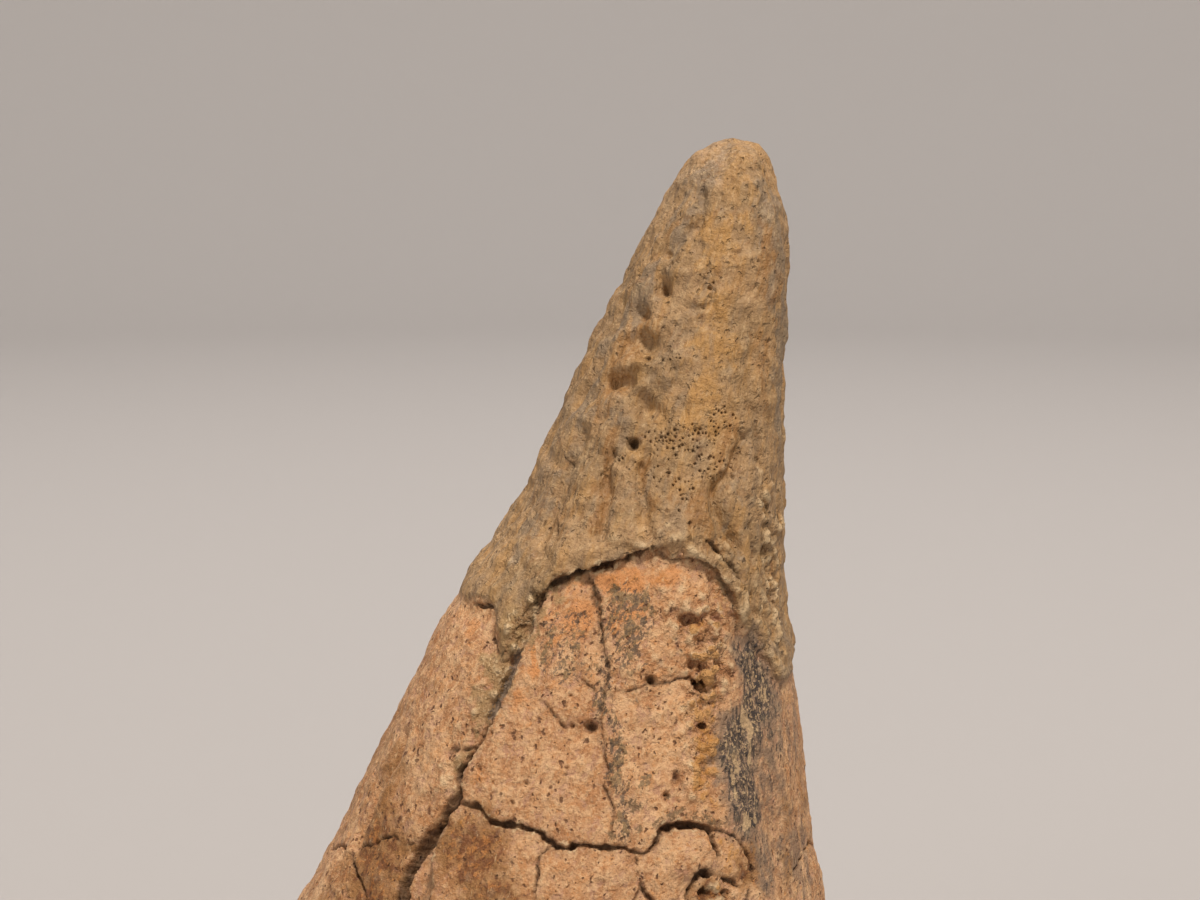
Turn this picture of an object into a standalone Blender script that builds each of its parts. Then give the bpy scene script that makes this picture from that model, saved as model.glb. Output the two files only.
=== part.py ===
"""A fossil ankylosaur scute: one piece of bone, a tall cone leaning over a broad hollow foot.

The shape is worked out in millimetres and scaled to metres where the mesh is made. +Z is up,
the front faces -Y, and the origin lies under the middle of the foot. The bone is lofted through
stations down its height, given low relief, and then cut with its fractures and nerve holes.
"""

import math

import bmesh
import bpy
import numpy as np
from mathutils import Matrix, Vector, noise
from mathutils.bvhtree import BVHTree
from mathutils.kdtree import KDTree

MM = 0.001

# Driving dimensions, in millimetres
HEIGHT = 99.2
FOOT_WIDTH = 71.6
FOOT_DEPTH = 60.0
HOLLOW_DEPTH = 9.4
FOOT_SUNK = 0.9  # how far the rough rim reaches below the plane that it is cut off at

# Mesh density
COLUMNS = 50
ROW_STEP, RIM_STEP, HOLLOW_STEP = 2.7, 2.4, 4.4

# The outline across is a little fuller than an ellipse, and its crest sits right of the middle.
FULLNESS = 2.2
CREST_SHIFT = 0.10

# Surface drawings are laid out on upright sheets, as an eye in front of each sheet sees them.
EYE_DISTANCE = 260.0
EYE_PITCH = math.radians(8.0)
SHEET_MIDDLE = (8.8, 70.4)
FRONT, RIGHT, BACK, LEFT = 0.0, 90.0, 180.0, 270.0

# (height, left, right, front, back) down the outside, round the rim and up into the hollow
OUTSIDE = [
    (HEIGHT, 21.4, 21.4, 2.8, 2.8),
    (HEIGHT - 0.7, 18.6, 24.1, 0.2, 5.1),
    (96.8, 17.0, 24.8, -1.6, 6.7),
    (94.0, 15.1, 25.8, -3.2, 8.2),
    (89.8, 12.6, 26.6, -4.8, 9.4),
    (83.0, 9.0, 26.6, -6.8, 10.6),
    (74.0, 5.3, 26.3, -9.0, 12.0),
    (64.5, 0.8, 26.0, -11.6, 13.4),
    (55.0, -5.4, 26.3, -14.3, 14.8),
    (45.0, -10.95, 28.1, -17.2, 16.6),
    (35.0, -15.8, 29.35, -20.0, 18.9),
    (26.0, -20.6, 30.7, -22.6, 21.3),
    (17.0, -25.6, 32.2, -25.2, 24.0),
    (9.0, -31.0, 34.0, -27.7, 26.8),
    (4.0, -34.6, 35.3, -29.4, 28.9),
    (1.2, -FOOT_WIDTH / 2, FOOT_WIDTH / 2, -FOOT_DEPTH / 2, FOOT_DEPTH / 2),
]
UNDERSIDE = [
    (-FOOT_SUNK, -33.0, 33.2, -27.6, 27.6),
    (-FOOT_SUNK, -29.0, 29.2, -24.0, 24.0),
    (2.2, -25.0, 25.2, -20.4, 20.4),
    (6.0, -18.0, 18.2, -14.6, 14.6),
    (HOLLOW_DEPTH - 0.8, -9.0, 9.2, -7.4, 7.4),
    (HOLLOW_DEPTH, 0.1, 0.1, 0.0, 0.0),
]

# Where the tan upper bone overlaps the cracked lower plates: (sheet, [(across, up), ...])
BREAK_LINE = [
    (FRONT, [(-3.6, 56.2), (-1.4, 55.6), (-0.2, 51.4), (0.9, 51.6), (3.0, 56.4), (6.6, 58.7)]),
    (FRONT, [(10.3, 59.8), (13.8, 61.0), (17.9, 59.9), (20.9, 56.9), (21.8, 52.6), (24.4, 52.8)]),
    (BACK, [(-25.6, 50.0), (-20.0, 53.0), (-14.0, 51.0), (-8.0, 55.5), (-2.0, 53.5), (2.4, 56.4)]),
]

# Cracks: name, sheet, width and depth at the middle, and the route across and up
CRACKS = [
    ("break_left", FRONT, 0.8, 1.5,
     [(0.5, 52.8), (1.8, 54.8), (4.0, 57.2), (6.6, 58.7), (10.3, 59.8), (13.8, 61.0)]),
    ("break_right", FRONT, 0.6, 1.0,
     [(13.2, 60.9), (15.9, 60.0), (17.9, 59.9), (20.2, 58.2), (21.3, 55.5), (21.8, 52.4)]),
    ("main_upper", FRONT, 0.9, 1.6,
     [(0.9, 51.4), (-0.5, 47.8), (-1.5, 46.0), (-2.1, 43.8), (-3.9, 40.9), (-4.9, 37.1)]),
    ("main_lower", FRONT, 1.3, 2.2,
     [(-4.7, 38.0), (-5.9, 35.6), (-7.7, 32.9), (-9.4, 30.4), (-11.5, 22.9), (-14.6, 14.0), (-15.2, 5.0)]),
    ("plate_foot", FRONT, 0.7, 1.3,
     [(-5.2, 36.7), (-2.8, 36.6), (-0.9, 35.0), (2.4, 34.3), (4.5, 32.9), (8.9, 32.6), (12.3, 32.1),
      (14.0, 32.9)]),
    ("plate_arc", FRONT, 0.9, 1.3, [(13.2, 32.4), (14.7, 34.2), (17.0, 34.9), (19.8, 34.2)]),
    ("plate_rim", FRONT, 0.45, 0.8,
     [(19.0, 34.4), (21.8, 33.6), (23.0, 31.6), (22.9, 28.1), (21.0, 23.0), (22.4, 13.0), (21.6, 5.0)]),
    ("plate_split", FRONT, 0.4, 0.7, [(19.1, 34.4), (19.8, 32.6), (20.7, 29.5)]),
    ("low_arc", FRONT, 0.6, 0.9, [(14.9, 27.6), (16.4, 29.5), (18.6, 30.0), (21.8, 29.2)]),
    ("plate_seam", FRONT, 0.4, 0.7,
     [(8.2, 58.4), (9.0, 53.4), (9.3, 47.7), (8.9, 42.4), (9.4, 36.4), (9.7, 32.4)]),
    ("plate_cross", FRONT, 0.35, 0.6, [(9.2, 46.9), (12.1, 47.7), (15.1, 48.3), (18.1, 48.4)]),
    ("left_cross", FRONT, 0.5, 0.8, [(-14.3, 32.9), (-10.9, 33.7), (-9.3, 32.9), (-7.2, 33.6)]),
    ("foot_left", FRONT, 0.6, 1.0, [(-12.4, 19.6), (-4.6, 21.4), (1.2, 19.0), (8.2, 20.6), (12.8, 28.8)]),
    ("foot_middle", FRONT, 0.6, 1.0, [(1.2, 19.4), (-0.6, 12.0), (2.2, 4.0)]),
    ("right_round", RIGHT, 0.6, 1.0,
     [(-19.0, 24.6), (-10.0, 26.0), (-1.0, 23.0), (7.0, 26.4), (17.0, 24.0)]),
    ("right_down", RIGHT, 0.5, 0.9, [(-1.6, 23.2), (1.6, 15.0), (-1.2, 5.0)]),
    ("back_break", BACK, 0.7, 1.2,
     [(-25.4, 50.2), (-20.0, 53.0), (-14.0, 51.0), (-8.0, 55.5), (-2.0, 53.5), (2.2, 56.2)]),
    ("back_main", BACK, 0.9, 1.6,
     [(-13.6, 51.3), (-10.4, 46.0), (-13.0, 38.0), (-9.0, 30.0), (-11.4, 20.0), (-7.2, 12.0),
      (-9.0, 4.0)]),
    ("back_high", BACK, 0.5, 0.9, [(-10.8, 46.2), (-4.0, 43.0), (2.0, 45.2), (8.4, 42.0)]),
    ("back_low", BACK, 0.6, 1.1, [(-9.4, 30.0), (-1.0, 27.0), (8.0, 29.6), (13.0, 27.4), (17.4, 26.6)]),
    ("back_side", BACK, 0.5, 0.9, [(-12.6, 38.4), (-18.6, 36.0), (-26.0, 38.6)]),
    ("back_foot", BACK, 0.6, 1.0, [(7.2, 29.2), (9.6, 19.0), (6.4, 11.0), (9.0, 4.0)]),
    ("left_round", LEFT, 0.6, 1.0, [(-15.0, 28.6), (-7.0, 31.4), (0.0, 28.0), (8.0, 30.2), (15.0, 27.0)]),
    ("left_down", LEFT, 0.5, 0.9, [(-0.4, 28.4), (-3.0, 18.0), (0.8, 5.0)]),
]

# Nerve and vessel holes: sheet, across, up, half width, half height, depth
HOLES = [
    (FRONT, 11.8, 71.1, 0.75, 0.70, 1.4),
    (FRONT, 13.3, 79.1, 0.55, 0.50, 0.9),
    (FRONT, 23.8, 69.4, 0.45, 0.80, 0.9),
    (FRONT, 25.2, 66.8, 0.50, 0.90, 0.9),
    (FRONT, 14.6, 85.7, 0.50, 0.80, 0.7),
    (FRONT, 13.8, 48.4, 0.70, 0.65, 1.2),
    (FRONT, 7.9, 44.1, 0.75, 0.70, 1.2),
    (FRONT, 18.5, 44.1, 0.50, 0.50, 1.0),
    (FRONT, 18.2, 48.3, 0.80, 0.45, 0.9),
    (FRONT, 16.0, 39.2, 0.45, 0.80, 0.9),
    (FRONT, -2.0, 55.6, 0.75, 0.35, 0.9),
    (FRONT, 3.6, 26.0, 0.70, 0.60, 1.1),
    (FRONT, -9.0, 12.0, 0.70, 0.90, 1.1),
    (FRONT, 15.4, 10.6, 0.80, 0.70, 1.1),
    (RIGHT, 2.0, 61.0, 0.50, 0.80, 0.9),
    (RIGHT, 6.0, 40.0, 0.70, 0.80, 1.1),
    (RIGHT, -8.0, 14.0, 0.60, 0.70, 1.0),
    (BACK, -18.0, 66.0, 0.60, 0.80, 1.0),
    (BACK, -10.0, 70.0, 0.50, 0.60, 0.9),
    (BACK, -19.0, 44.0, 0.70, 0.70, 1.1),
    (BACK, -1.0, 35.0, 0.70, 0.80, 1.1),
    (BACK, 14.0, 17.0, 0.70, 0.70, 1.1),
    (LEFT, 2.6, 44.0, 0.60, 0.80, 1.0),
    (LEFT, -7.0, 17.0, 0.70, 0.70, 1.1),
]

# Broad dents with no floor of their own: sheet, across, up, radius, depth
DENTS = [
    (FRONT, 13.0, 80.4, 1.9, 0.40),
    (FRONT, 13.0, 74.4, 1.9, 0.45),
    (FRONT, 10.4, 77.0, 1.7, 0.35),
    (FRONT, 11.8, 71.1, 2.2, 0.35),
    (FRONT, 12.4, 83.4, 1.7, 0.30),
    (FRONT, 18.3, 93.5, 1.5, 0.30),
    (FRONT, 24.3, 60.0, 1.6, 0.45),
    (FRONT, 20.0, 40.6, 2.0, 0.30),
    (BACK, -17.0, 74.0, 3.0, 0.50),
    (BACK, -12.0, 62.0, 3.4, 0.50),
    (LEFT, 3.0, 66.0, 3.0, 0.40),
]

# A keel runs down the side that the tip leans to, with a furrow beside its lower half.
KEEL = (
    FRONT,
    [(23.3, 96.5), (24.6, 92.2), (25.0, 84.6), (24.5, 77.0), (23.8, 70.4), (22.3, 58.0), (21.2, 46.6),
     (22.6, 34.3), (25.4, 22.0), (28.0, 10.0)],
)
KEEL_HEIGHT, KEEL_WIDTH = 0.55, 2.4
FURROW = (FRONT, [(22.7, 52.3), (23.7, 49.0), (22.9, 43.3), (24.8, 36.0), (26.6, 28.4)])
FURROW_DEPTH, FURROW_WIDTH = 0.55, 1.9
LEDGE_RISE, LEDGE_FADE = 0.6, 5.0  # the upper bone stands proud along the break line
SHOULDER_DROP, SHOULDER_WIDTH = 0.22, 1.3  # the edges of every crack are worn down

PROUD = 1.5  # how far a cutter stands out of the bone
BLADE_STEP = 2.6
ROUTE_STEP = 0.8  # spacing of the places that distances to a route are measured from
BLADE_END = 0.25  # a crack's width and depth at its two ends, as a share of its middle
BONE_COLOUR, BONE_ROUGHNESS = (0.46, 0.27, 0.14, 1.0), 0.8


def smoothstep(x):
    x = np.clip(x, 0.0, 1.0)
    return x * x * (3.0 - 2.0 * x)


def curve_through(rows):
    """(length at each row, function from lengths to rows) of a smooth curve through every row."""
    rows = np.array(rows, float)
    half_width = (rows[:, 2] - rows[:, 1]) / 2
    steps = np.hypot(np.diff(rows[:, 0]), np.diff(half_width))
    at = np.concatenate([[0.0], np.cumsum(steps)])
    slope = np.zeros_like(rows)
    chords = np.diff(rows, axis=0) / steps[:, None]
    share = (steps[1:] / (steps[:-1] + steps[1:]))[:, None]
    slope[1:-1] = chords[:-1] * share + chords[1:] * (1 - share)
    slope[0] = 2 * chords[0] - slope[1]
    slope[-1] = 2 * chords[-1] - slope[-2]
    slope[[0, -1], 0] = 0.0  # level at the tip and at the middle of the hollow

    def row_at(length):
        i = np.clip(np.searchsorted(at, length, side="right") - 1, 0, len(steps) - 1)
        h = steps[i][:, None]
        x = ((length - at[i]) / steps[i])[:, None]
        return (
            (2 * x**3 - 3 * x**2 + 1) * rows[i]
            + (x**3 - 2 * x**2 + x) * h * slope[i]
            + (3 * x**2 - 2 * x**3) * rows[i + 1]
            + (x**3 - x**2) * h * slope[i + 1]
        )

    return at, row_at


def outline(row, angles):
    """The bone's outline at one station, as points round it."""
    height, left, right, front, back = row
    middle_x = (left + right) / 2 + CREST_SHIFT * (right - left) / 2
    middle_y = (front + back) / 2
    c, s = np.cos(angles), np.sin(angles)
    reach_x = np.where(c > 0, right - middle_x, middle_x - left)
    reach_y = np.where(s > 0, back - middle_y, middle_y - front)
    x = middle_x + reach_x * np.sign(c) * np.abs(c) ** (2 / FULLNESS)
    y = middle_y + reach_y * np.sign(s) * np.abs(s) ** (2 / FULLNESS)
    return np.stack([x, y, np.full_like(x, height)], axis=1)


def loft():
    """A closed bmesh through the stations, with a pole at the tip and one in the hollow."""
    at, row_at = curve_through(OUTSIDE + UNDERSIDE)
    ends = [0.0, at[len(OUTSIDE) - 1], at[len(OUTSIDE) + 1], at[-1]]
    lengths = [ends[-1]]
    for start, end, step in zip(ends, ends[1:], (ROW_STEP, RIM_STEP, HOLLOW_STEP)):
        lengths.extend(np.linspace(start, end, round((end - start) / step), endpoint=False))
    rows = row_at(np.sort(lengths))
    angles = np.arange(COLUMNS) * math.tau / COLUMNS
    bm = bmesh.new()
    tip = bm.verts.new((rows[0][1], rows[0][3], rows[0][0]))
    rings = [[bm.verts.new(p) for p in outline(row, angles)] for row in rows[1:-1]]
    end = bm.verts.new((rows[-1][1], rows[-1][3], rows[-1][0]))
    for i in range(COLUMNS):
        j = (i + 1) % COLUMNS
        bm.faces.new((tip, rings[0][i], rings[0][j]))
        for upper, lower in zip(rings, rings[1:]):
            bm.faces.new((upper[i], lower[i], lower[j], upper[j]))
        bm.faces.new((rings[-1][i], end, rings[-1][j]))
    bmesh.ops.recalc_face_normals(bm, faces=bm.faces)
    return bm


class Sheet:
    """An upright sheet on one side of the bone. Lines from an eye carry a drawing on it to the bone."""

    def __init__(self, azimuth, tree):
        turn = Matrix.Rotation(math.radians(azimuth), 3, "Z")
        self.right = turn @ Vector((1, 0, 0))
        self.up = turn @ Vector((0, math.sin(EYE_PITCH), math.cos(EYE_PITCH)))
        ahead = turn @ Vector((0, math.cos(EYE_PITCH), -math.sin(EYE_PITCH)))
        self.eye = self.point(*SHEET_MIDDLE) - ahead * EYE_DISTANCE
        self.tree = tree

    def point(self, across, up):
        return self.right * across + self.up * (up - SHEET_MIDDLE[1]) + Vector((0, 0, SHEET_MIDDLE[1]))

    def on_bone(self, across, up):
        """(place, outward normal) on the bone under a point of the drawing."""
        aim = (self.point(across, up) - self.eye).normalized()
        place, normal, _, _ = self.tree.ray_cast(self.eye, aim)
        if place is None:
            raise ValueError(f"the point {across}, {up} of a drawing misses the bone")
        return place, normal


def spaced(route, step):
    """The route as a smooth line with points a step apart."""
    p = np.array(route, float)
    p = np.concatenate([[2 * p[0] - p[1]], p, [2 * p[-1] - p[-2]]])
    line = []
    for a, b, c, d in zip(p, p[1:], p[2:], p[3:]):
        count = max(1, round(np.linalg.norm(c - b) / step))
        for t in np.arange(count) / count:
            line.append(b + 0.5 * t * (c - a + t * (2 * a - 5 * b + 4 * c - d + t * (3 * (b - c) + d - a))))
    return line + [p[-2]]


def places_along(routes, sheets):
    """Places on the bone along routes, which are (sheet, route) pairs."""
    return [sheets[side].on_bone(*spot)[0] for side, route in routes for spot in spaced(route, ROUTE_STEP)]


def distance_to(routes, sheets, points):
    """How far each point is from the nearest of the routes."""
    places = places_along(routes, sheets)
    tree = KDTree(len(places))
    for i, place in enumerate(places):
        tree.insert(place, i)
    tree.balance()
    return np.array([tree.find(p)[2] for p in points])


def break_height(sheets, points):
    """The height of the break line at the angle of each point round the bone."""
    places = np.array(places_along(BREAK_LINE, sheets))
    at, row_at = curve_through(OUTSIDE)
    rows = row_at(np.linspace(0.0, at[-1], 200))[::-1]

    def angle(p):
        x = np.interp(p[:, 2], rows[:, 0], (rows[:, 1] + rows[:, 2]) / 2)
        y = np.interp(p[:, 2], rows[:, 0], (rows[:, 3] + rows[:, 4]) / 2)
        return np.arctan2(p[:, 1] - y, p[:, 0] - x)

    line = angle(places)
    order = np.argsort(line)
    return np.interp(angle(points), line[order], places[order, 2], period=math.tau)


def lumps(points):
    """Low relief of the bone: broad swellings, smaller knobs, and shallow flutes that run up to the tip."""
    heights = []
    for x, y, z in points:
        broad = noise.noise(Vector((x / 13, y / 13, z / 24)))
        small = noise.noise(Vector((x / 5.5 + 7.0, y / 5.5, z / 8)))
        flutes = noise.noise(Vector((x / 4.2, y / 4.2 + 3.0, z / 40)))
        foot = noise.noise(Vector((x / 4.0, y / 4.0, z / 5.0 - 9.0))) * smoothstep(1 - z / 16)
        heights.append(0.55 * broad + 0.22 * small + 0.26 * flutes + 0.45 * foot)
    return np.array(heights)


def add_relief(bm, sheets):
    """Moves the loft's points along their normals: lumps, keel, furrow, ledge, crack edges and dents."""
    bm.normal_update()
    points = np.array([v.co for v in bm.verts])
    keel = distance_to([KEEL], sheets, points)
    furrow = distance_to([FURROW], sheets, points)
    cracks = distance_to([(side, route) for _, side, _, _, route in CRACKS], sheets, points)
    above = points[:, 2] - break_height(sheets, points)
    rise = lumps(points)
    rise += KEEL_HEIGHT * np.exp(-((keel / KEEL_WIDTH) ** 2))
    rise -= FURROW_DEPTH * np.exp(-((furrow / FURROW_WIDTH) ** 2))
    rise += LEDGE_RISE * smoothstep(above + 0.5) * np.exp(-np.maximum(above, 0) / LEDGE_FADE)
    rise -= SHOULDER_DROP * np.exp(-((cracks / SHOULDER_WIDTH) ** 2))
    for side, across, up, radius, depth in DENTS:
        place = np.array(sheets[side].on_bone(across, up)[0])
        rise -= depth * np.exp(-((np.linalg.norm(points - place, axis=1) / radius) ** 2))
    for vert, height in zip(bm.verts, rise):
        vert.co += vert.normal * height
    bm.normal_update()


def add_object(name, bm):
    """A mesh object from a bmesh in millimetres, in triangles, since a bent four-sided face cuts badly."""
    bmesh.ops.triangulate(bm, faces=bm.faces)
    bm.transform(Matrix.Scale(MM, 4))
    mesh = bpy.data.meshes.new(name)
    bm.to_mesh(mesh)
    bm.free()
    obj = bpy.data.objects.new(name, mesh)
    bpy.context.scene.collection.objects.link(obj)
    return obj


def cut(bone, name, bm):
    """Takes a cutter's shape out of the bone."""
    cutter = add_object(name, bm)
    cutter.hide_render = True
    cutter.display_type = "WIRE"
    modifier = bone.modifiers.new(name, "BOOLEAN")
    modifier.operation = "DIFFERENCE"
    modifier.solver = "EXACT"
    modifier.object = cutter


def crack_blade(sheet, width, depth, route):
    """A wedge swept along a crack: its edge is down in the bone, and its back stands out of it."""
    line = [sheet.on_bone(*spot) for spot in spaced(route, BLADE_STEP)]
    last = len(line) - 1
    bm = bmesh.new()
    sections = []
    for i, (place, normal) in enumerate(line):
        ahead = line[min(i + 1, last)][0] - line[max(i - 1, 0)][0]
        side = normal.cross(ahead).normalized()
        share = BLADE_END + (1 - BLADE_END) * 2 * math.sqrt(i / last * (1 - i / last))
        half = side * (width / 2 * share * (1 + PROUD / depth))
        top = place + normal * PROUD
        sections.append([bm.verts.new(p) for p in (top - half, top + half, place - normal * depth * share)])
    for a, b in zip(sections, sections[1:]):
        for i in range(3):
            j = (i + 1) % 3
            bm.faces.new((a[i], b[i], b[j], a[j]))
    bm.faces.new(sections[0])
    bm.faces.new(reversed(sections[-1]))
    return bm


def hole_drill(sheet, across, up, half_width, half_height, depth):
    """A blunt oval punch pointing into the bone."""
    place, normal = sheet.on_bone(across, up)
    side = sheet.right - normal * sheet.right.dot(normal)
    turn = Matrix((side.normalized(), normal.cross(side).normalized(), normal)).transposed().to_4x4()
    bm = bmesh.new()
    bmesh.ops.create_uvsphere(bm, u_segments=8, v_segments=5, radius=1.0)
    bm.transform(Matrix.Translation(place) @ turn @ Matrix.Diagonal((half_width, half_height, depth, 1)))
    return bm


def floor_block():
    """What lies below the plane that the foot is cut off at."""
    bm = bmesh.new()
    width, depth, height = 2 * FOOT_WIDTH, 2 * FOOT_DEPTH, 4 * FOOT_SUNK
    place = Matrix.Translation((0, 0, -height / 2))
    bmesh.ops.create_cube(bm, size=1.0, matrix=place @ Matrix.Diagonal((width, depth, height, 1)))
    return bm


def bone_material():
    material = bpy.data.materials.new("fossil bone")
    material.use_nodes = True
    shader = material.node_tree.nodes["Principled BSDF"]
    shader.inputs["Base Color"].default_value = BONE_COLOUR
    shader.inputs["Roughness"].default_value = BONE_ROUGHNESS
    shader.inputs["Metallic"].default_value = 0.0
    return material


def main():
    for obj in list(bpy.data.objects):
        bpy.data.objects.remove(obj)
    bm = loft()
    smooth = BVHTree.FromBMesh(bm)
    add_relief(bm, {azimuth: Sheet(azimuth, smooth) for azimuth in (FRONT, RIGHT, BACK, LEFT)})
    rough = BVHTree.FromBMesh(bm)
    sheets = {azimuth: Sheet(azimuth, rough) for azimuth in (FRONT, RIGHT, BACK, LEFT)}
    bone = add_object("scute", bm)
    bone.data.shade_smooth()
    bone.data.materials.append(bone_material())
    for name, side, width, depth, route in CRACKS:
        cut(bone, "crack_" + name, crack_blade(sheets[side], width, depth, route))
    for i, (side, *size) in enumerate(HOLES):
        cut(bone, f"hole_{i}", hole_drill(sheets[side], *size))
    cut(bone, "floor", floor_block())


main()
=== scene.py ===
import math

import bpy
import numpy as np
from mathutils import Matrix, Vector, noise
from mathutils.bvhtree import BVHTree
from mathutils.kdtree import KDTree


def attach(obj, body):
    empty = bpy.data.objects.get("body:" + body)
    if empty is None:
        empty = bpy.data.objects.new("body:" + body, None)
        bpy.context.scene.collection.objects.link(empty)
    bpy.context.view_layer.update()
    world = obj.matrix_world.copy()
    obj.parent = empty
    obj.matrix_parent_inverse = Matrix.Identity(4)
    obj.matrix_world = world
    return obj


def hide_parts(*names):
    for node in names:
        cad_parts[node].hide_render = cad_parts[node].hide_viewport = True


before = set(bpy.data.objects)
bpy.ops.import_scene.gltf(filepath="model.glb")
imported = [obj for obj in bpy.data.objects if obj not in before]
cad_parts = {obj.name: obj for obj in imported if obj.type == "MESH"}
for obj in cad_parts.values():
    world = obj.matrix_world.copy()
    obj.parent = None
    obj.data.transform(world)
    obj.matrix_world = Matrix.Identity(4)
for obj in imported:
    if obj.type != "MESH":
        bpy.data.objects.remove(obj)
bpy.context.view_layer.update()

# A fossil ankylosaur scute. Shapes are worked out in millimetres, and made metres when the mesh is.
mm = 0.001
front, right, back, left = 0.0, 90.0, 180.0, 270.0  # the azimuths of the four sides

scute = {
    "height": 99.2,
    "footWidth": 71.6,
    "footDepth": 60.0,
    "hollowDepth": 9.4,
    "footSunk": 0.9,      # how far the rough rim reaches below the plane that it is cut off at
    "fullness": 2.2,      # 2 is an ellipse across, more is squarer
    "crestShift": 0.10,
    "eyeDistance": 260.0,  # the eye that drawings on a side's upright sheet are seen from
    "eyePitch": math.radians(8.0),
    "sheetMiddle": (8.8, 70.4),
}

mesh = {
    "columns": 24,
    "rowStep": 4.4,
    "bodyEdge": 1.5,       # longest edge on the back, the foot and the underside
    "faceEdge": 0.55,      # on the face that is seen closest
    "crackEdge": 0.24,     # in and beside that face's cracks and holes
    "poreEdge": 0.145,     # where its pores are
    "knobEdge": 0.34,      # where it is knobbly
    "farCrackEdge": 0.50,  # in and beside the other sides' cracks and holes
    "crackReach": 0.25,    # how far past a crack's edge the short edges go
    "holeReach": 0.30,
    "poreReach": 1.3,      # the same for an oval of pores, in its half widths
    "markSpacing": 0.3,    # between the places along a crack that the short edges gather round
    "knobbly": 0.55,       # the least roughness that gets the knobs' short edges
    "faceBottom": 24.0,
    "faceTurn": -20.0,     # faces turned further from the eye than this are not the face
    "mostPasses": 9,
}

# (height, left, right, front, back) down the outside, round the rim and up into the hollow
outside = [
    (scute["height"], 21.4, 21.4, 2.8, 2.8),
    (scute["height"] - 0.7, 18.6, 24.1, 0.2, 5.1),
    (96.8, 17.0, 24.8, -1.6, 6.7),
    (94.0, 15.1, 25.8, -3.2, 8.2),
    (89.8, 12.6, 26.6, -4.8, 9.4),
    (83.0, 9.0, 26.6, -6.8, 10.6),
    (74.0, 5.3, 26.3, -9.0, 12.0),
    (64.5, 0.8, 26.0, -11.6, 13.4),
    (55.0, -5.4, 26.3, -14.3, 14.8),
    (45.0, -10.95, 28.1, -17.2, 16.6),
    (35.0, -15.8, 29.35, -20.0, 18.9),
    (26.0, -20.6, 30.7, -22.6, 21.3),
    (17.0, -25.6, 32.2, -25.2, 24.0),
    (9.0, -31.0, 34.0, -27.7, 26.8),
    (4.0, -34.6, 35.3, -29.4, 28.9),
    (1.2, -scute["footWidth"] / 2, scute["footWidth"] / 2, -scute["footDepth"] / 2, scute["footDepth"] / 2),
]
underside = [
    (-scute["footSunk"], -33.0, 33.2, -27.6, 27.6),
    (-scute["footSunk"], -29.0, 29.2, -24.0, 24.0),
    (2.2, -25.0, 25.2, -20.4, 20.4),
    (6.0, -18.0, 18.2, -14.6, 14.6),
    (scute["hollowDepth"] - 0.8, -9.0, 9.2, -7.4, 7.4),
    (scute["hollowDepth"], 0.1, 0.1, 0.0, 0.0),
]

# Where the tan upper bone overlaps the cracked lower plates
breakLine = [
    (front, [(-3.6, 56.2), (-1.4, 55.6), (-0.6, 50.4), (0.4, 50.4), (3.0, 56.4), (6.6, 58.7)]),
    (front, [(10.3, 59.8), (13.8, 61.0), (17.9, 59.9), (20.9, 56.9), (22.3, 53.4), (23.8, 52.2), (25.0, 49.6),
             (25.9, 48.2)]),
    (back, [(-25.6, 50.0), (-20.0, 53.0), (-14.0, 51.0), (-8.0, 55.5), (-2.0, 53.5), (2.4, 56.4)]),
]

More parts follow.
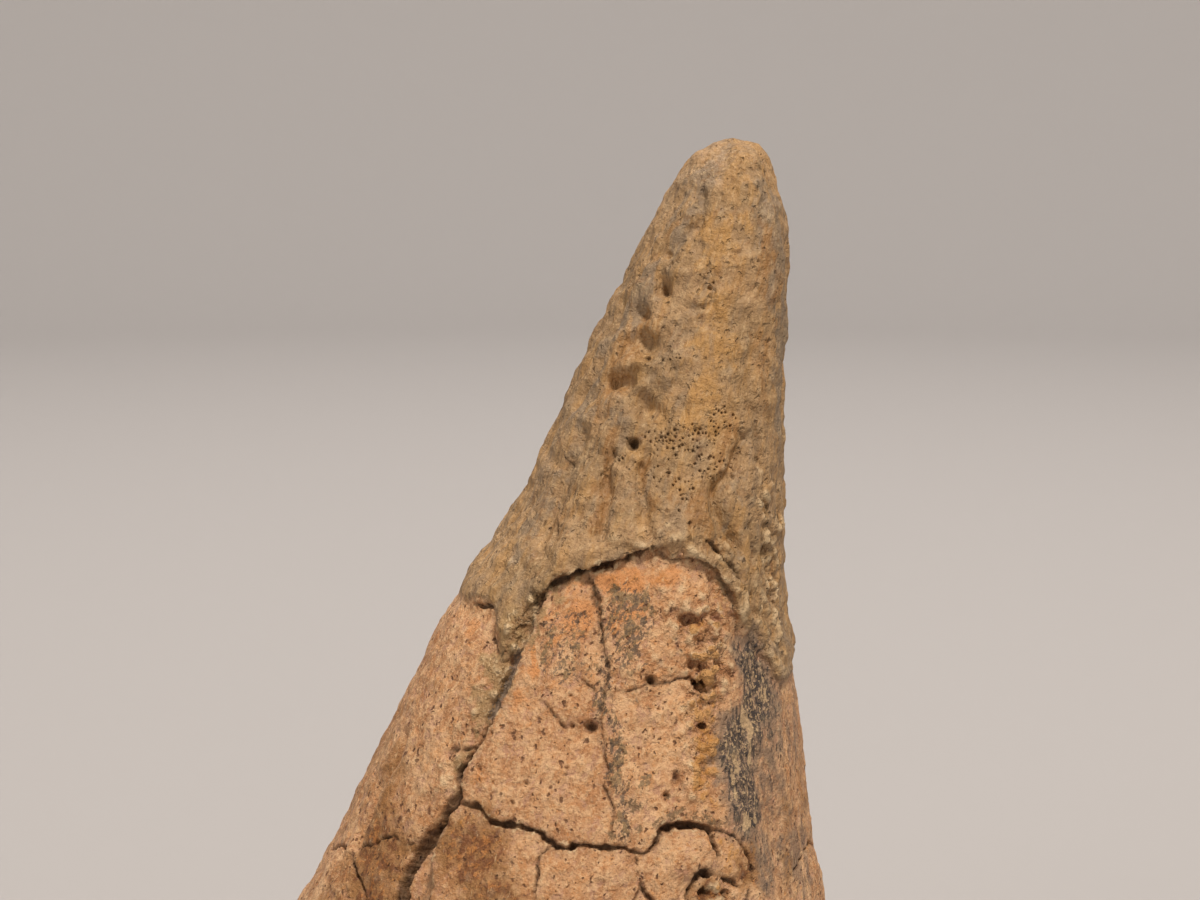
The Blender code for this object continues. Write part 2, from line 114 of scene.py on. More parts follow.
# On each side: width, depth, step (how much the left bank stands above the right, walking along it), route
cracks = {
    front: [
        (0.66, 1.2, 0.95, [(2.6, 56), (4, 57.2), (5, 57.9), (6.6, 58.7), (8.5, 59.3), (10.3, 59.8),
            (11.6, 60.4), (12.6, 60.8), (13.8, 61)]),
        (0.34, 0.35, 0.4, [(13.2, 60.9), (14.6, 60.4), (15.9, 60), (17.9, 59.9), (19.4, 59.2), (20.2, 58.2),
            (20.9, 56.9), (21.3, 55.5), (21.6, 54), (21.8, 52.4)]),
        (0.35, 0.7, 0.1, [(18.3, 62), (19.6, 61.3), (20.4, 60.3), (21.3, 59.4), (21.9, 58.2)]),
        (0.36, 0.45, 0.9, [(3.7, 56.4), (2.9, 55.4), (2.7, 54), (2.1, 52.8), (1.5, 51.8), (1, 50.8),
            (0.5, 49.6)]),
        (1, 1, 0.7, [(1.3, 51.5), (0.6, 50), (0, 48.6), (-0.5, 47.3), (-1, 46.2), (-1.6, 45.2),
            (-2.2, 43.8), (-3, 42.2)]),
        (0.95, 1.7, 0.5, [(-2.4, 43.2), (-3.9, 40.9), (-4.6, 39.4), (-4.9, 37.1), (-5.9, 35.6),
            (-6.7, 34.3), (-7.7, 32.9)]),
        (1.65, 2, 0.15, [(-5, 38.4), (-5.7, 36.4), (-6.7, 34.6), (-8, 33.2), (-9, 31.8), (-9.6, 30.2),
            (-10, 28.6), (-10.5, 26.2), (-11.5, 22.9), (-14.6, 14), (-15.2, 5)]),
        (0.3, 0.5, 0, [(4.6, 33.4), (3.4, 31.9), (2.9, 30.6), (2.8, 29.2), (2.5, 27.8), (3.2, 25.8)]),
        (0.3, 0.12, 1.1, [(-5.3, 36), (-6, 34.6), (-6.6, 33), (-7, 31.4), (-7.1, 29.6), (-7.5, 27.6),
            (-8.9, 23.6)]),
        (0.54, 1, 0.5, [(-5.2, 36.7), (-3.9, 36.7), (-2.8, 36.6), (-1.9, 35.8), (-0.9, 35), (0.7, 34.6),
            (2.4, 34.3), (3.5, 33.6), (4.5, 32.9), (5.9, 32.8), (7.4, 32.9), (8.9, 32.6), (10.5, 32.4),
            (12.3, 32.1), (13.6, 32.5)]),
        (0.78, 1.2, 0.6, [(12.9, 32.2), (14.1, 33.3), (14.7, 34.2), (15.7, 34.7), (17, 34.9), (18.3, 34.6),
            (19.8, 34.2)]),
        (0.46, 0.7, 0.1, [(19, 34.3), (20.4, 34.1), (21.8, 33.6), (22.5, 32.6), (23, 31.6), (23.2, 29.8),
            (22.9, 28.1), (21, 23), (22.4, 13), (21.6, 5)]),
        (0.8, 1, 0, [(18.7, 34.8), (19.1, 33.9), (19.4, 33.2), (20, 31.6), (20.5, 29.9), (20.7, 29.4)]),
        (0.7, 1, 0.3, [(16.6, 26.8), (17.2, 28.8), (18.2, 30.1), (19.8, 30.1), (21, 29.7), (22, 29)]),
        (0.4, 0.7, 0, [(12, 31.4), (12.3, 29.9), (12.8, 28.8), (13.8, 27.6), (14.5, 26.2), (12.8, 22)]),
        (0.62, 0.55, 0.12, [(7.2, 59), (7.7, 58), (8.3, 56.5), (8.8, 54.9), (8.9, 53), (9.1, 52.2)]),
        (0.4, 0.4, 0.16, [(8.8, 53.6), (9.1, 52.2), (9.5, 50.3), (9.7, 49.2), (9.4, 47.7), (9.1, 46.5),
            (8.8, 45), (8.9, 43.6)]),
        (0.34, 0.35, 0.1, [(8.8, 45), (8.9, 42.4), (9.4, 40.2), (9.2, 38.1), (10.1, 36.4), (9.8, 34.2),
            (10.2, 32.6)]),
        (0.3, 0.4, 0.14, [(9.2, 46.9), (10.7, 47.3), (12.1, 47.7), (13.4, 48), (15.1, 48.3), (16.6, 48.7),
            (18.1, 48.4)]),
        (0.28, 0.32, 0.16, [(3.2, 46.6), (4, 45.8), (4.8, 44.8), (6, 43.7), (6.7, 43.4)]),
        (0.3, 0.36, 0.14, [(6.4, 48.9), (7.6, 47.9), (8.3, 47.2)]),
        (0.36, 0.6, 0.15, [(-14.3, 32.9), (-12.8, 32.9), (-12, 33.4), (-10.9, 33.7), (-10.3, 33.1),
            (-9.3, 32.9), (-8.5, 33.2), (-7.2, 33.6)]),
        (0.35, 0.6, 0.15, [(-5.4, 42), (-4.6, 42.1), (-3.4, 42.2)]),
        (0.3, 0.4, 0, [(5.5, 69.6), (5.9, 68.7), (5.6, 66.9), (5.2, 65.5), (4.9, 63.9), (4.8, 62.5)]),
        (0.55, 0.9, 0.3, [(-3.2, 55.8), (-2, 55.6), (-1.4, 55.4)]),
        (0.36, 0.4, 0.3, [(-1.4, 55.4), (-1.2, 54), (-1.4, 52.5), (-0.9, 51.2)]),
        (0.55, 0.9, 0, [(-12.4, 19.6), (-4.6, 21.4), (1.2, 19), (8.2, 20.6), (12.8, 28.8)]),
        (0.55, 0.9, 0, [(1.2, 19.4), (-0.6, 12), (2.2, 4)]),
    ],
    right: [
        (0.6, 1, 0, [(-13, 25.6), (-8, 26), (-1, 23), (7, 26.4), (17, 24)]),
        (0.5, 0.9, 0, [(-1.6, 23.2), (1.6, 15), (-1.2, 5)]),
    ],
    back: [
        (0.8, 1.3, 0.55, [(-25.4, 50.2), (-20, 53), (-14, 51), (-8, 55.5), (-2, 53.5), (2.2, 56.2)]),
        (1, 1.7, 0.15, [(-13.6, 51.3), (-10.4, 46), (-13, 38), (-9, 30), (-11.4, 20), (-7.2, 12), (-9, 4)]),
        (0.5, 0.9, 0, [(-10.8, 46.2), (-4, 43), (2, 45.2), (8.4, 42)]),
        (0.7, 1.2, 0.2, [(-9.4, 30), (-1, 27), (8, 29.6), (13, 27.4), (17.4, 26.6)]),
        (0.5, 0.9, 0, [(-12.6, 38.4), (-18.6, 36), (-26, 38.6)]),
        (0.6, 1, 0, [(7.2, 29.2), (9.6, 19), (6.4, 11), (9, 4)]),
    ],
    left: [
        (0.6, 1, 0, [(-15, 28.6), (-7, 31.4), (0, 28), (8, 30.2), (15, 27)]),
        (0.5, 0.9, 0, [(-0.4, 28.4), (-3, 18), (0.8, 5)]),
    ],
}

# Vessel grooves with soft banks, and ribs, which have a depth below zero: half width, depth, route
grooves = {
    front: [
        (0.6, 1.1, [(22.6, 71.3), (21.9, 69.9), (20.2, 67.1), (19.8, 65.8), (20, 64.5), (20.4, 63.2),
            (21.9, 61.2)]),
        (0.5, 1, [(10, 70.2), (9.4, 69.2), (9.2, 67.5), (9.5, 65.6), (9.2, 63.7), (8.8, 62.2)]),
        (0.5, 0.9, [(13.3, 70), (12.7, 67.5), (12.9, 65.6), (12.7, 63.7), (13.2, 61.8)]),
        (0.5, 0.7, [(18.4, 94.6), (18.2, 93.4), (17.9, 91.2)]),
        (0.45, 0.45, [(17.9, 92.3), (16.6, 90.6), (15.1, 88.7)]),
        (0.35, 0.4, [(17.2, 83.9), (18.4, 83.9), (19.6, 84.4)]),
        (0.7, 0.8, [(6.4, 74.6), (7.9, 77.4), (9.4, 80.8), (10.8, 84.2)]),
        (0.7, 0.7, [(3, 60.6), (4.2, 64.8), (6.2, 69.4), (7.2, 72)]),
        (0.5, 0.6, [(23.4, 82), (23, 77), (23.6, 73.4), (24.2, 69)]),
        (0.45, 0.75, [(23, 63.4), (23.6, 60.4), (23.2, 57.6), (23.8, 54.4)]),
        (0.75, 0.9, [(-14.3, 33.1), (-14, 34.3), (-13.3, 35.7), (-12.8, 37), (-12.4, 38.2), (-11.3, 40.1),
            (-10.6, 41.4), (-10, 42.9)]),
        (0.8, 0.9, [(-6.2, 35), (-7.1, 33.6), (-7.9, 31.8), (-8.3, 29.8), (-8.7, 27.6), (-10, 23.4)]),
        (0.55, -0.4, [(15.9, 44.8), (16.3, 42), (16.9, 39.6), (17.3, 37.6)]),
    ],
    back: [
        (0.6, 0.6, [(-20, 92), (-17, 84), (-18, 76), (-14, 68)]),
        (0.6, 0.6, [(-12, 80), (-9, 72), (-10, 63)]),
    ],
    right: [
        (0.6, 0.6, [(0, 88), (2, 80), (-1, 70), (1, 62)]),
    ],
    left: [
        (0.6, 0.6, [(0, 84), (-3, 76), (-1, 66)]),
    ],
}

# Nerve and vessel holes: across, up, half width, half height, depth
holes = {
    front: [
        (11.8, 71.1, 0.72, 0.66, 1.5), (13.3, 79.1, 0.42, 0.38, 0.9), (23.8, 69.4, 0.42, 0.75, 0.8),
        (25.2, 66.8, 0.42, 0.8, 0.8), (14.6, 85.7, 0.45, 0.7, 0.5), (19.2, 85.8, 0.26, 0.26, 0.5),
        (15.1, 89.1, 0.36, 0.42, 0.3), (15.6, 88.2, 0.2, 0.2, 0.4), (18.6, 84, 0.2, 0.2, 0.4),
        (16.1, 75.3, 0.2, 0.18, 0.4), (13.8, 48.4, 0.7, 0.62, 1.3), (7.9, 44.1, 0.78, 0.66, 1.2),
        (18.5, 44.1, 0.46, 0.46, 1), (18.2, 48.3, 0.85, 0.4, 0.8), (16, 39.2, 0.4, 0.8, 0.8),
        (15.1, 37.6, 0.34, 0.34, 0.6), (6.1, 44.2, 0.26, 0.3, 0.6), (5.7, 40.2, 0.22, 0.26, 0.5),
        (1.7, 38.7, 0.32, 0.36, 0.5), (0.5, 36.9, 0.22, 0.24, 0.5), (-1.4, 43.5, 0.22, 0.26, 0.5),
        (-2.6, 40.2, 0.22, 0.26, 0.5), (6, 47.1, 0.22, 0.22, 0.5), (17, 54.7, 0.4, 0.22, 0.5),
        (14.4, 45.8, 0.22, 0.22, 0.5), (12.5, 42, 0.22, 0.24, 0.5), (18.8, 28.5, 0.7, 0.5, 0.9),
        (20.7, 28.2, 0.5, 0.4, 0.8), (3.6, 26, 0.7, 0.6, 1.1), (-9, 12, 0.7, 0.9, 1.1),
        (15.4, 10.6, 0.8, 0.7, 1.1),
    ],
    right: [
        (2, 61, 0.5, 0.8, 0.9), (6, 40, 0.7, 0.8, 1.1), (-8, 14, 0.6, 0.7, 1),
    ],
    back: [
        (-18, 66, 0.6, 0.8, 1), (-10, 70, 0.5, 0.6, 0.9), (-19, 44, 0.7, 0.7, 1.1), (-1, 35, 0.7, 0.8, 1.1),
        (14, 17, 0.7, 0.7, 1.1),
    ],
    left: [
        (2.6, 44, 0.6, 0.8, 1), (-7, 17, 0.7, 0.7, 1.1),
    ],
}

# Broad dents with no floor of their own, and swellings, which have a depth below zero: across, up, half
# width, half height, depth
dents = {
    front: [
        (13, 80.8, 1.7, 1, 1.6), (13.2, 74.5, 1.6, 1.1, 1.5), (10.6, 77, 1.8, 0.8, 1.3),
        (11.8, 71.1, 1.9, 1.9, 0.4), (12.5, 83.4, 1.1, 0.9, 1.2), (14.7, 85.9, 0.8, 1.2, 1.3),
        (8.2, 75.6, 0.8, 0.8, 0.3), (9, 73.6, 1.2, 0.5, 0.3), (24.3, 60, 1.6, 1.6, 0.45),
        (20, 40.6, 1.6, 2, 0.35), (13.3, 78.4, 1.4, 0.5, -0.4), (11.9, 69.7, 1.1, 0.5, -0.3),
        (15, 77.4, 0.6, 0.9, -0.35), (12.6, 76.4, 1.2, 0.5, -0.3), (17.6, 32, 3.2, 2.6, -0.8),
        (10, 57, 0.5, 0.5, 0.25), (6.3, 43.9, 2, 1.2, 0.22), (7.3, 49, 1.2, 1.8, 0.15),
        (16.9, 56, 1.2, 1, -0.6), (19.4, 52.9, 1.5, 0.9, -0.5), (19.1, 49.3, 1, 0.9, -0.8),
        (18.3, 46.8, 1.2, 0.8, -0.35), (20.6, 54.6, 0.7, 0.9, -0.3), (17.6, 50, 0.6, 0.4, 0.35),
        (16.9, 54.4, 0.9, 0.4, 0.5), (18.1, 48.2, 0.9, 0.35, 0.5),
    ],
    back: [
        (-17, 74, 3, 3, 0.5), (-12, 62, 3.4, 3.4, 0.5),
    ],
    left: [
        (3, 66, 3, 3, 0.4),
    ],
}

keel = {
    "rise": 0.55,
    "width": 2.4,
    "routes": [(front, [(23.3, 96.5), (24.6, 92.2), (25.0, 84.6), (24.5, 77.0), (23.8, 70.4), (22.3, 58.0),
                        (21.2, 46.6), (22.6, 34.3), (25.4, 22.0), (28.0, 10.0)])],
}
furrow = {
    "rise": -0.55,
    "width": 1.9,
    "routes": [(front, [(22.7, 52.3), (23.7, 49.0), (22.9, 43.3), (24.8, 36.0), (26.6, 28.4)])],
}
ledge = {"rise": 0.6, "fade": 5.0}
shoulder = {"drop": 0.22, "width": 1.3}

# Fields painted on each side. An oval is (across, up, half width, half height, amount), and a band is
# (half width, amount, route).
fields = {
    "pores": {
        front: [
            (16.4, 71.7, 2.8, 1.2, 1), (20.6, 73, 1.4, 1.3, 0.9), (15, 70.6, 1.2, 1.1, 1),
            (19.7, 69, 1.7, 1.2, 0.8), (16, 66.8, 1.8, 1, 0.8), (11.1, 69.2, 1.3, 0.6, 0.5),
            (14.4, 68.6, 0.9, 0.9, 0.6), (16.4, 64, 1.2, 0.7, 0.3), (19.2, 86.9, 0.8, 0.9, 0.5),
            (24.4, 63.4, 0.9, 1.6, 0.8), (25, 57.6, 0.9, 1.9, 0.8), (15.6, 79, 1.8, 0.6, 0.3),
        ],
    },
    "rough": {
        front: [
            (14.8, 61.9, 5.5, 1, 0.35), (20.5, 59.6, 1.4, 2, 0.5), (16.4, 54.8, 2.4, 2.4, 0.6),
            (18.8, 50.8, 1.8, 4.8, 1.15), (14, 50, 2.2, 3, 0.3), (18.2, 41.6, 1.5, 3.6, 0.7),
            (19.6, 27.6, 2.6, 1.4, 0.6), (25.2, 58, 1.6, 7, 0.6),
            (1.5, 0.5, [(24.2, 68), (24.6, 62), (24.4, 56), (24, 51)]),
            (1.1, 0.45, [(14, 61), (18, 60.2), (20.6, 58), (21.6, 55)]),
            (0.8, 1, [(3, 56.4), (2, 55), (1, 53.4), (0.3, 51.8)]),
            (0.8, 0.35, [(-1.2, 50), (-3, 46), (-5, 42), (-6.8, 38)]),
        ],
        back: [
            (1.3, 0.4, [(-25.4, 50.2), (-20, 53), (-14, 51), (-8, 55.5), (-2, 53.5)]),
        ],
    },
    "matrix": {
        front: [
            (0.4, 53.4, 1.3, 2.4, 1), (-1.2, 49.8, 1.2, 2.2, 1), (-2.5, 46.4, 0.9, 1.8, 0.9),
            (0.7, 1, [(3.8, 57.2), (2.6, 56), (1.8, 54.8), (0.9, 53.2), (0.2, 51.6)]),
            (0.5, 0.75, [(6.4, 58), (4.8, 57), (3.6, 55.4), (2.8, 53.6), (2, 51.8)]),
            (0.5, 0.7, [(-1.9, 46.4), (-3.2, 43.6), (-5.4, 40)]),
            (1, 0.5, [(24.4, 66), (24.6, 60), (24.4, 54)]),
        ],
    },
    "orange": {
        front: [
            (6.2, 54.4, 2.2, 3.2, 0.9), (10.8, 58, 2.2, 1.4, 1), (14.4, 58.3, 2.4, 1.2, 0.9),
            (10.9, 54.6, 1.5, 1.1, 0.9), (2.9, 50.3, 0.6, 1.6, 1), (16.8, 57.6, 2.6, 1.8, 0.5),
            (-3.6, 53.6, 1, 1.6, 0.8), (-2.4, 38.7, 1.6, 1.2, 0.8), (-9, 46, 2, 4, 0.4),
            (2.4, 47.4, 2.4, 3, 0.6), (14, 51.6, 2.6, 3.4, 0.5), (8, 27.6, 3.4, 3, 0.4),
        ],
    },
    "ochre": {
        front: [
            (19, 48.6, 1, 1, 1), (17.9, 53.6, 1.6, 0.9, 0.9), (18.7, 41.2, 1.2, 3.6, 1.1),
            (19, 37.6, 0.9, 1.2, 0.9), (14.1, 40.8, 0.35, 0.35, 1), (14.4, 36.3, 0.3, 0.3, 1),
            (20.6, 56, 1, 1.6, 0.8), (20.4, 30.6, 1.2, 2, 0.8), (-3.6, 35, 1, 0.7, 0.7),
            (14, 45.6, 0.5, 0.4, 0.8), (3, 38, 0.4, 1, 0.6), (24.6, 56, 1.2, 6, 0.5), (21, 32, 1, 2, 0.9),
            (17.2, 32.6, 1.6, 1.2, 0.6), (19, 45.2, 1.1, 2.4, 0.9),
            (1.5, 0.65, [(18.6, 53), (19, 47.6), (18.4, 43.6), (18.8, 37.6)]),
        ],
    },
    "green": {
        front: [
            (10.4, 42.6, 0.7, 0.7, 1), (10.1, 40.2, 0.5, 0.9, 1), (12, 36.5, 0.9, 0.8, 1),
            (9.9, 33.8, 0.45, 0.55, 1), (12.4, 34.4, 0.6, 0.45, 1), (15.2, 37.5, 0.3, 0.3, 1),
            (16.6, 36.3, 0.35, 0.35, 1), (13.4, 45.8, 0.5, 0.4, 0.8), (10, 57.2, 0.7, 0.7, 1),
            (12.9, 54.4, 0.8, 0.6, 0.8),
            (0.45, 0.8, [(8.2, 57.6), (8.8, 55), (9, 52.4)]),
            # The next band is painted shade along the crack it follows
            (0.45, 0.9, [(14, 34.8), (15.6, 35.7), (17.2, 35.8), (18.8, 35.4), (20.2, 34.9)]),
        ],
    },
    "manganese": {
        front: [
            (23.6, 48, 2, 3.2, 1), (21.4, 42.4, 1.8, 3.4, 1), (22, 37.2, 1.6, 3.2, 1),
            (25.2, 44.6, 1.6, 4.4, 0.8), (25, 39, 1.8, 4, 0.65), (25.8, 34, 2, 4, 0.5),
            (27.4, 45, 1.4, 6, 0.6), (22.4, 58.2, 0.6, 1.8, 0.4),
            (2, 1, [(22.8, 50.6), (23.6, 47.6), (22.6, 43.6), (22.2, 39.4), (23, 35.8)]),
            (1.2, 0.7, [(22.8, 35.6), (24.2, 32.4), (25, 28.8)]),
        ],
        back: [
            (-20, 30, 3, 6, 0.6),
        ],
        right: [
            (3, 44, 2.6, 5, 0.6),
        ],
    },
    "rust": {
        front: [
            (25, 88, 1.2, 6, 0.9), (24.4, 78, 1, 6, 0.8), (17.6, 65, 2.6, 2.4, 1), (21.4, 70, 1.6, 4, 0.7),
            (22.2, 84, 1.6, 5, 0.6), (16, 91, 1.5, 2.6, 0.6), (19.4, 61.8, 2.4, 1.6, 0.8),
            (-3.4, 32.4, 3.4, 3.6, 1), (-12.6, 31, 3.4, 6, 1), (23, 31, 2, 2.2, 0.8), (19.4, 28, 2, 1.4, 1),
            (26.4, 31, 0.8, 6, 0.7), (-2, 27, 4, 3, 1), (6, 26, 3, 2, 0.5), (-11, 39, 3, 4, 0.6),
            (-15, 28, 4, 5, 0.8), (7.2, 76.6, 1.4, 2.6, 0.6),
            (0.8, 1, [(10.6, 72.6), (9.6, 69.6), (9, 66), (8.6, 63.4)]),
            (0.7, 1, [(13.4, 69.4), (13.4, 66.6), (13.9, 64)]),
            (1.4, 0.8, [(4.6, 63), (6.4, 68), (9.6, 75), (12.6, 83)]),
        ],
        back: [
            (-8, 40, 5, 6, 0.6), (6, 20, 6, 5, 0.7),
        ],
        left: [
            (2, 40, 4, 8, 0.5),
        ],
        right: [
            (-6, 32, 4, 8, 0.5),
        ],
    },
    "golden": {
        front: [
            (21, 95.6, 3.2, 3, 0.6), (20.4, 90, 3, 3.6, 1), (19, 82, 3, 5, 0.9),
            (18.4, 74.6, 2.8, 3.4, 0.9), (18.6, 66.6, 3, 3.4, 0.6), (23.6, 56, 1.4, 4, 0.6),
            (13.6, 87.6, 2, 4, 0.5),
        ],
    },
    # On the front, the bands and the two far-right ovals follow the outlines: their grey is painted shade.
    # The ovals on the other sides are grey stone.
    "greyed": {
        front: [
            (10, 73.4, 2.4, 2.4, 0.6), (15, 76.4, 1.6, 1, 0.6), (26.4, 43, 2, 10, 0.85),
            (27.8, 31, 2.8, 6, 0.9),
            (1.5, 1, [(19, 96.6), (16.6, 93), (14, 88.4), (11, 82)]),
            (1.8, 0.8, [(10.2, 82), (7.6, 75), (4.6, 68), (1.4, 61)]),
            (1.8, 1, [(24.8, 94.6), (25.8, 88), (26, 82), (25.8, 74)]),
            (0.8, 0.7, [(22.4, 68), (21.4, 64), (22, 60.6)]),
        ],
        right: [
            (-6, 46, 6, 8, 0.7),
        ],
        back: [
            (-14, 36, 5, 8, 0.6),
        ],
    },
    "flecked": {
        front: [
            (5.4, 52, 3.4, 4.8, 0.95), (11.4, 53.6, 2.8, 5.4, 1), (14, 48, 3, 4, 0.6),
            (12.4, 39, 2, 5, 0.8), (-2.6, 30, 4, 5, 0.5), (-5, 49, 3, 5, 0.5), (3, 43, 5, 5, 0.5),
            (7.2, 45.4, 2, 2.6, 0.7),
            (0.9, 1, [(9.2, 50), (9.6, 46), (10.2, 42), (10.4, 38), (10.8, 34)]),
            (0.5, 0.9, [(9.7, 57.6), (10.4, 55.6), (11.6, 53.6)]),
        ],
    },
    "pitted": {
        front: [
            (16.6, 48, 3.6, 6, 0.9), (19.6, 59.6, 2, 2.4, 0.6), (15, 41, 4, 4, 0.7), (4, 40, 6, 4.5, 0.5),
            (21.6, 29, 3, 3, 0.6), (7, 28, 5, 4, 0.5),
            (1.2, 0.5, [(24.4, 66), (24.8, 60), (24.4, 54)]),
        ],
    },
    "wall": {
        front: [
            (0.45, 1, [(1.1, 50.9), (0.5, 49.4), (-0.2, 47.9), (-0.9, 46.4), (-1.6, 45.2)]),
        ],
    },
    "bevel": {
        front: [
            (0.9, 1, [(-6.3, 34.6), (-7.1, 33), (-7.8, 31.2), (-8.1, 29.4), (-8.5, 27.4), (-9.4, 24.6)]),
        ],
    },
}


def smoothStep(x):
    x = np.clip(x, 0.0, 1.0)
    return x * x * (3.0 - 2.0 * x)


def bell(x):
    return np.exp(-(x**2))


# The rows of a table, each with its side first
def rowsOf(table):
    return [(side, *row) for side, rows in table.items() for row in rows]


def unit(vectors):
    return vectors / np.maximum(np.linalg.norm(vectors, axis=-1, keepdims=True), 1e-12)


# The length at each station, and a function from lengths to stations, of a smooth curve through them
def curveThrough(rows):
    rows = np.array(rows, float)
    halfWidth = (rows[:, 2] - rows[:, 1]) / 2
    steps = np.hypot(np.diff(rows[:, 0]), np.diff(halfWidth))
    at = np.concatenate([[0.0], np.cumsum(steps)])
    chords = np.diff(rows, axis=0) / steps[:, None]
    share = (steps[1:] / (steps[:-1] + steps[1:]))[:, None]
    slope = np.zeros_like(rows)
    slope[1:-1] = chords[:-1] * share + chords[1:] * (1 - share)
    slope[0] = 2 * chords[0] - slope[1]
    slope[-1] = 2 * chords[-1] - slope[-2]
    slope[[0, -1], 0] = 0.0  # level at the tip and at the middle of the hollow

    def rowAt(length):
        i = np.clip(np.searchsorted(at, length, side="right") - 1, 0, len(steps) - 1)
        h = steps[i][:, None]
        x = ((length - at[i]) / steps[i])[:, None]
        return ((2 * x**3 - 3 * x**2 + 1) * rows[i] + (x**3 - 2 * x**2 + x) * h * slope[i]
                + (3 * x**2 - 2 * x**3) * rows[i + 1] + (x**3 - x**2) * h * slope[i + 1])

    return at, rowAt


stationAt, rowAt = curveThrough(outside + underside)


# Places on the smooth bone, from (cosine, sine, length): the way round it and the way along it
def boneAt(spots):
    height, west, east, south, north = rowAt(spots[:, 2]).T
    middleX = (west + east) / 2 + scute["crestShift"] * (east - west) / 2
    middleY = (south + north) / 2
    c, s = unit(spots[:, :2]).T
    reachX = np.where(c > 0, east - middleX, middleX - west)
    reachY = np.where(s > 0, north - middleY, middleY - south)
    power = 2 / scute["fullness"]
    x = middleX + reachX * np.sign(c) * np.abs(c) ** power
    y = middleY + reachY * np.sign(s) * np.abs(s) ** power
    return np.stack([x, y, height], axis=1)


# A coarse closed loft, as spots on the bone and triangles between them. Every other row is turned by half
# a column, which makes the triangles nearly even-sided.
def loft():
    rowCount = round(stationAt[-1] / mesh["rowStep"])
    lengths = np.linspace(0.0, stationAt[-1], rowCount + 1)
    n = mesh["columns"]
    angles = np.arange(n) * math.tau / n
    around = np.stack([np.cos(angles), np.sin(angles)], axis=1)
    ahead = np.stack([-around[:, 1], around[:, 0]], axis=1)
    turned = around * math.cos(math.pi / n) + ahead * math.sin(math.pi / n)
    rings = [np.column_stack([(around, turned)[k % 2], np.full(n, length)])
             for k, length in enumerate(lengths[1:-1])]
    spots = np.concatenate([[[0.0, 0.0, 0.0]], *rings, [[0.0, 0.0, lengths[-1]]]])
    faces = []
    last = len(spots) - 1
    for i in range(n):
        j = (i + 1) % n
        faces.append((0, 1 + i, 1 + j))
        for row in range(rowCount - 2):
            a, b = 1 + row * n, 1 + (row + 1) * n
            if row % 2:
                faces += [(a + i, b + i, b + j), (a + i, b + j, a + j)]
            else:
                faces += [(a + i, b + i, a + j), (a + j, b + i, b + j)]
        a = 1 + (rowCount - 2) * n
        faces.append((a + i, last, a + j))
    return spots, np.array(faces)


def normalsOf(points, faces):
    a, b, c = points[faces[:, 0]], points[faces[:, 1]], points[faces[:, 2]]
    flat = np.cross(b - a, c - a)
    total = np.zeros_like(points)
    for axis in range(3):
        for corner in range(3):
            total[:, axis] += np.bincount(faces[:, corner], weights=flat[:, axis], minlength=len(points))
    return unit(total)


# Splits every edge longer than longest(middles, normals), again and again. A new point lies on the smooth
# bone, or bulges from its edge as the normals at the edge's ends say.
def refine(spots, points, faces, longest, onBone):
    for _ in range(mesh["mostPasses"]):
        ends = np.sort(np.concatenate([faces[:, [0, 1]], faces[:, [1, 2]], faces[:, [2, 0]]]), axis=1)
        keys, of = np.unique(ends[:, 0] * len(points) + ends[:, 1], return_inverse=True)
        edges = np.stack(np.divmod(keys, len(points)), axis=1)
        of = of.reshape(3, -1)
        p, q = points[edges[:, 0]], points[edges[:, 1]]
        normals = normalsOf(points, faces)
        atP, atQ = normals[edges[:, 0]], normals[edges[:, 1]]
        split = np.linalg.norm(q - p, axis=1) > longest((p + q) / 2, unit(atP + atQ))
        if not split.any():
            break
        number = np.full(len(edges), -1)
        number[split] = len(points) + np.arange(split.sum())
        newSpots = ((spots[edges[:, 0]] + spots[edges[:, 1]]) / 2)[split]
        newSpots[:, :2] = unit(newSpots[:, :2])
        if onBone:
            newPoints = boneAt(newSpots)
        else:
            pull = (np.sum((q - p) * atP, axis=1, keepdims=True) * atP
                    - np.sum((q - p) * atQ, axis=1, keepdims=True) * atQ)
            newPoints = ((p + q) / 2 - pull / 8)[split]
        spots = np.concatenate([spots, newSpots])
        points = np.concatenate([points, newPoints])
        faces = splitFaces(points, faces, number[of].T)
    return spots, points, faces


# Each face in two, three or four, at the new points (-1 is none) on its edges from corners 0, 1 and 2
def splitFaces(points, faces, new):
    count = (new >= 0).sum(axis=1)
    made = [faces[count == 0]]
    for turn in range(3):
        f, m = np.roll(faces, -turn, axis=1), np.roll(new, -turn, axis=1)
        k = (count == 1) & (m[:, 0] >= 0)
        a, b, c, x = f[k, 0], f[k, 1], f[k, 2], m[k, 0]
        made += [np.stack(t, axis=1) for t in ((a, x, c), (x, b, c))]
        k = (count == 2) & (m[:, 2] < 0)
        a, b, c, x, y = f[k, 0], f[k, 1], f[k, 2], m[k, 0], m[k, 1]
        made.append(np.stack((x, b, y), axis=1))
        short = np.linalg.norm(points[x] - points[c], axis=1) < np.linalg.norm(points[a] - points[y], axis=1)
        for pick, pair in ((short, ((a, x, c), (x, y, c))), (~short, ((a, x, y), (a, y, c)))):
            made += [np.stack(t, axis=1)[pick] for t in pair]
    k = count == 3
    a, b, c = faces[k].T
    x, y, z = new[k].T
    made += [np.stack(t, axis=1) for t in ((a, x, z), (x, b, y), (z, y, c), (x, y, z))]
    return np.concatenate(made)


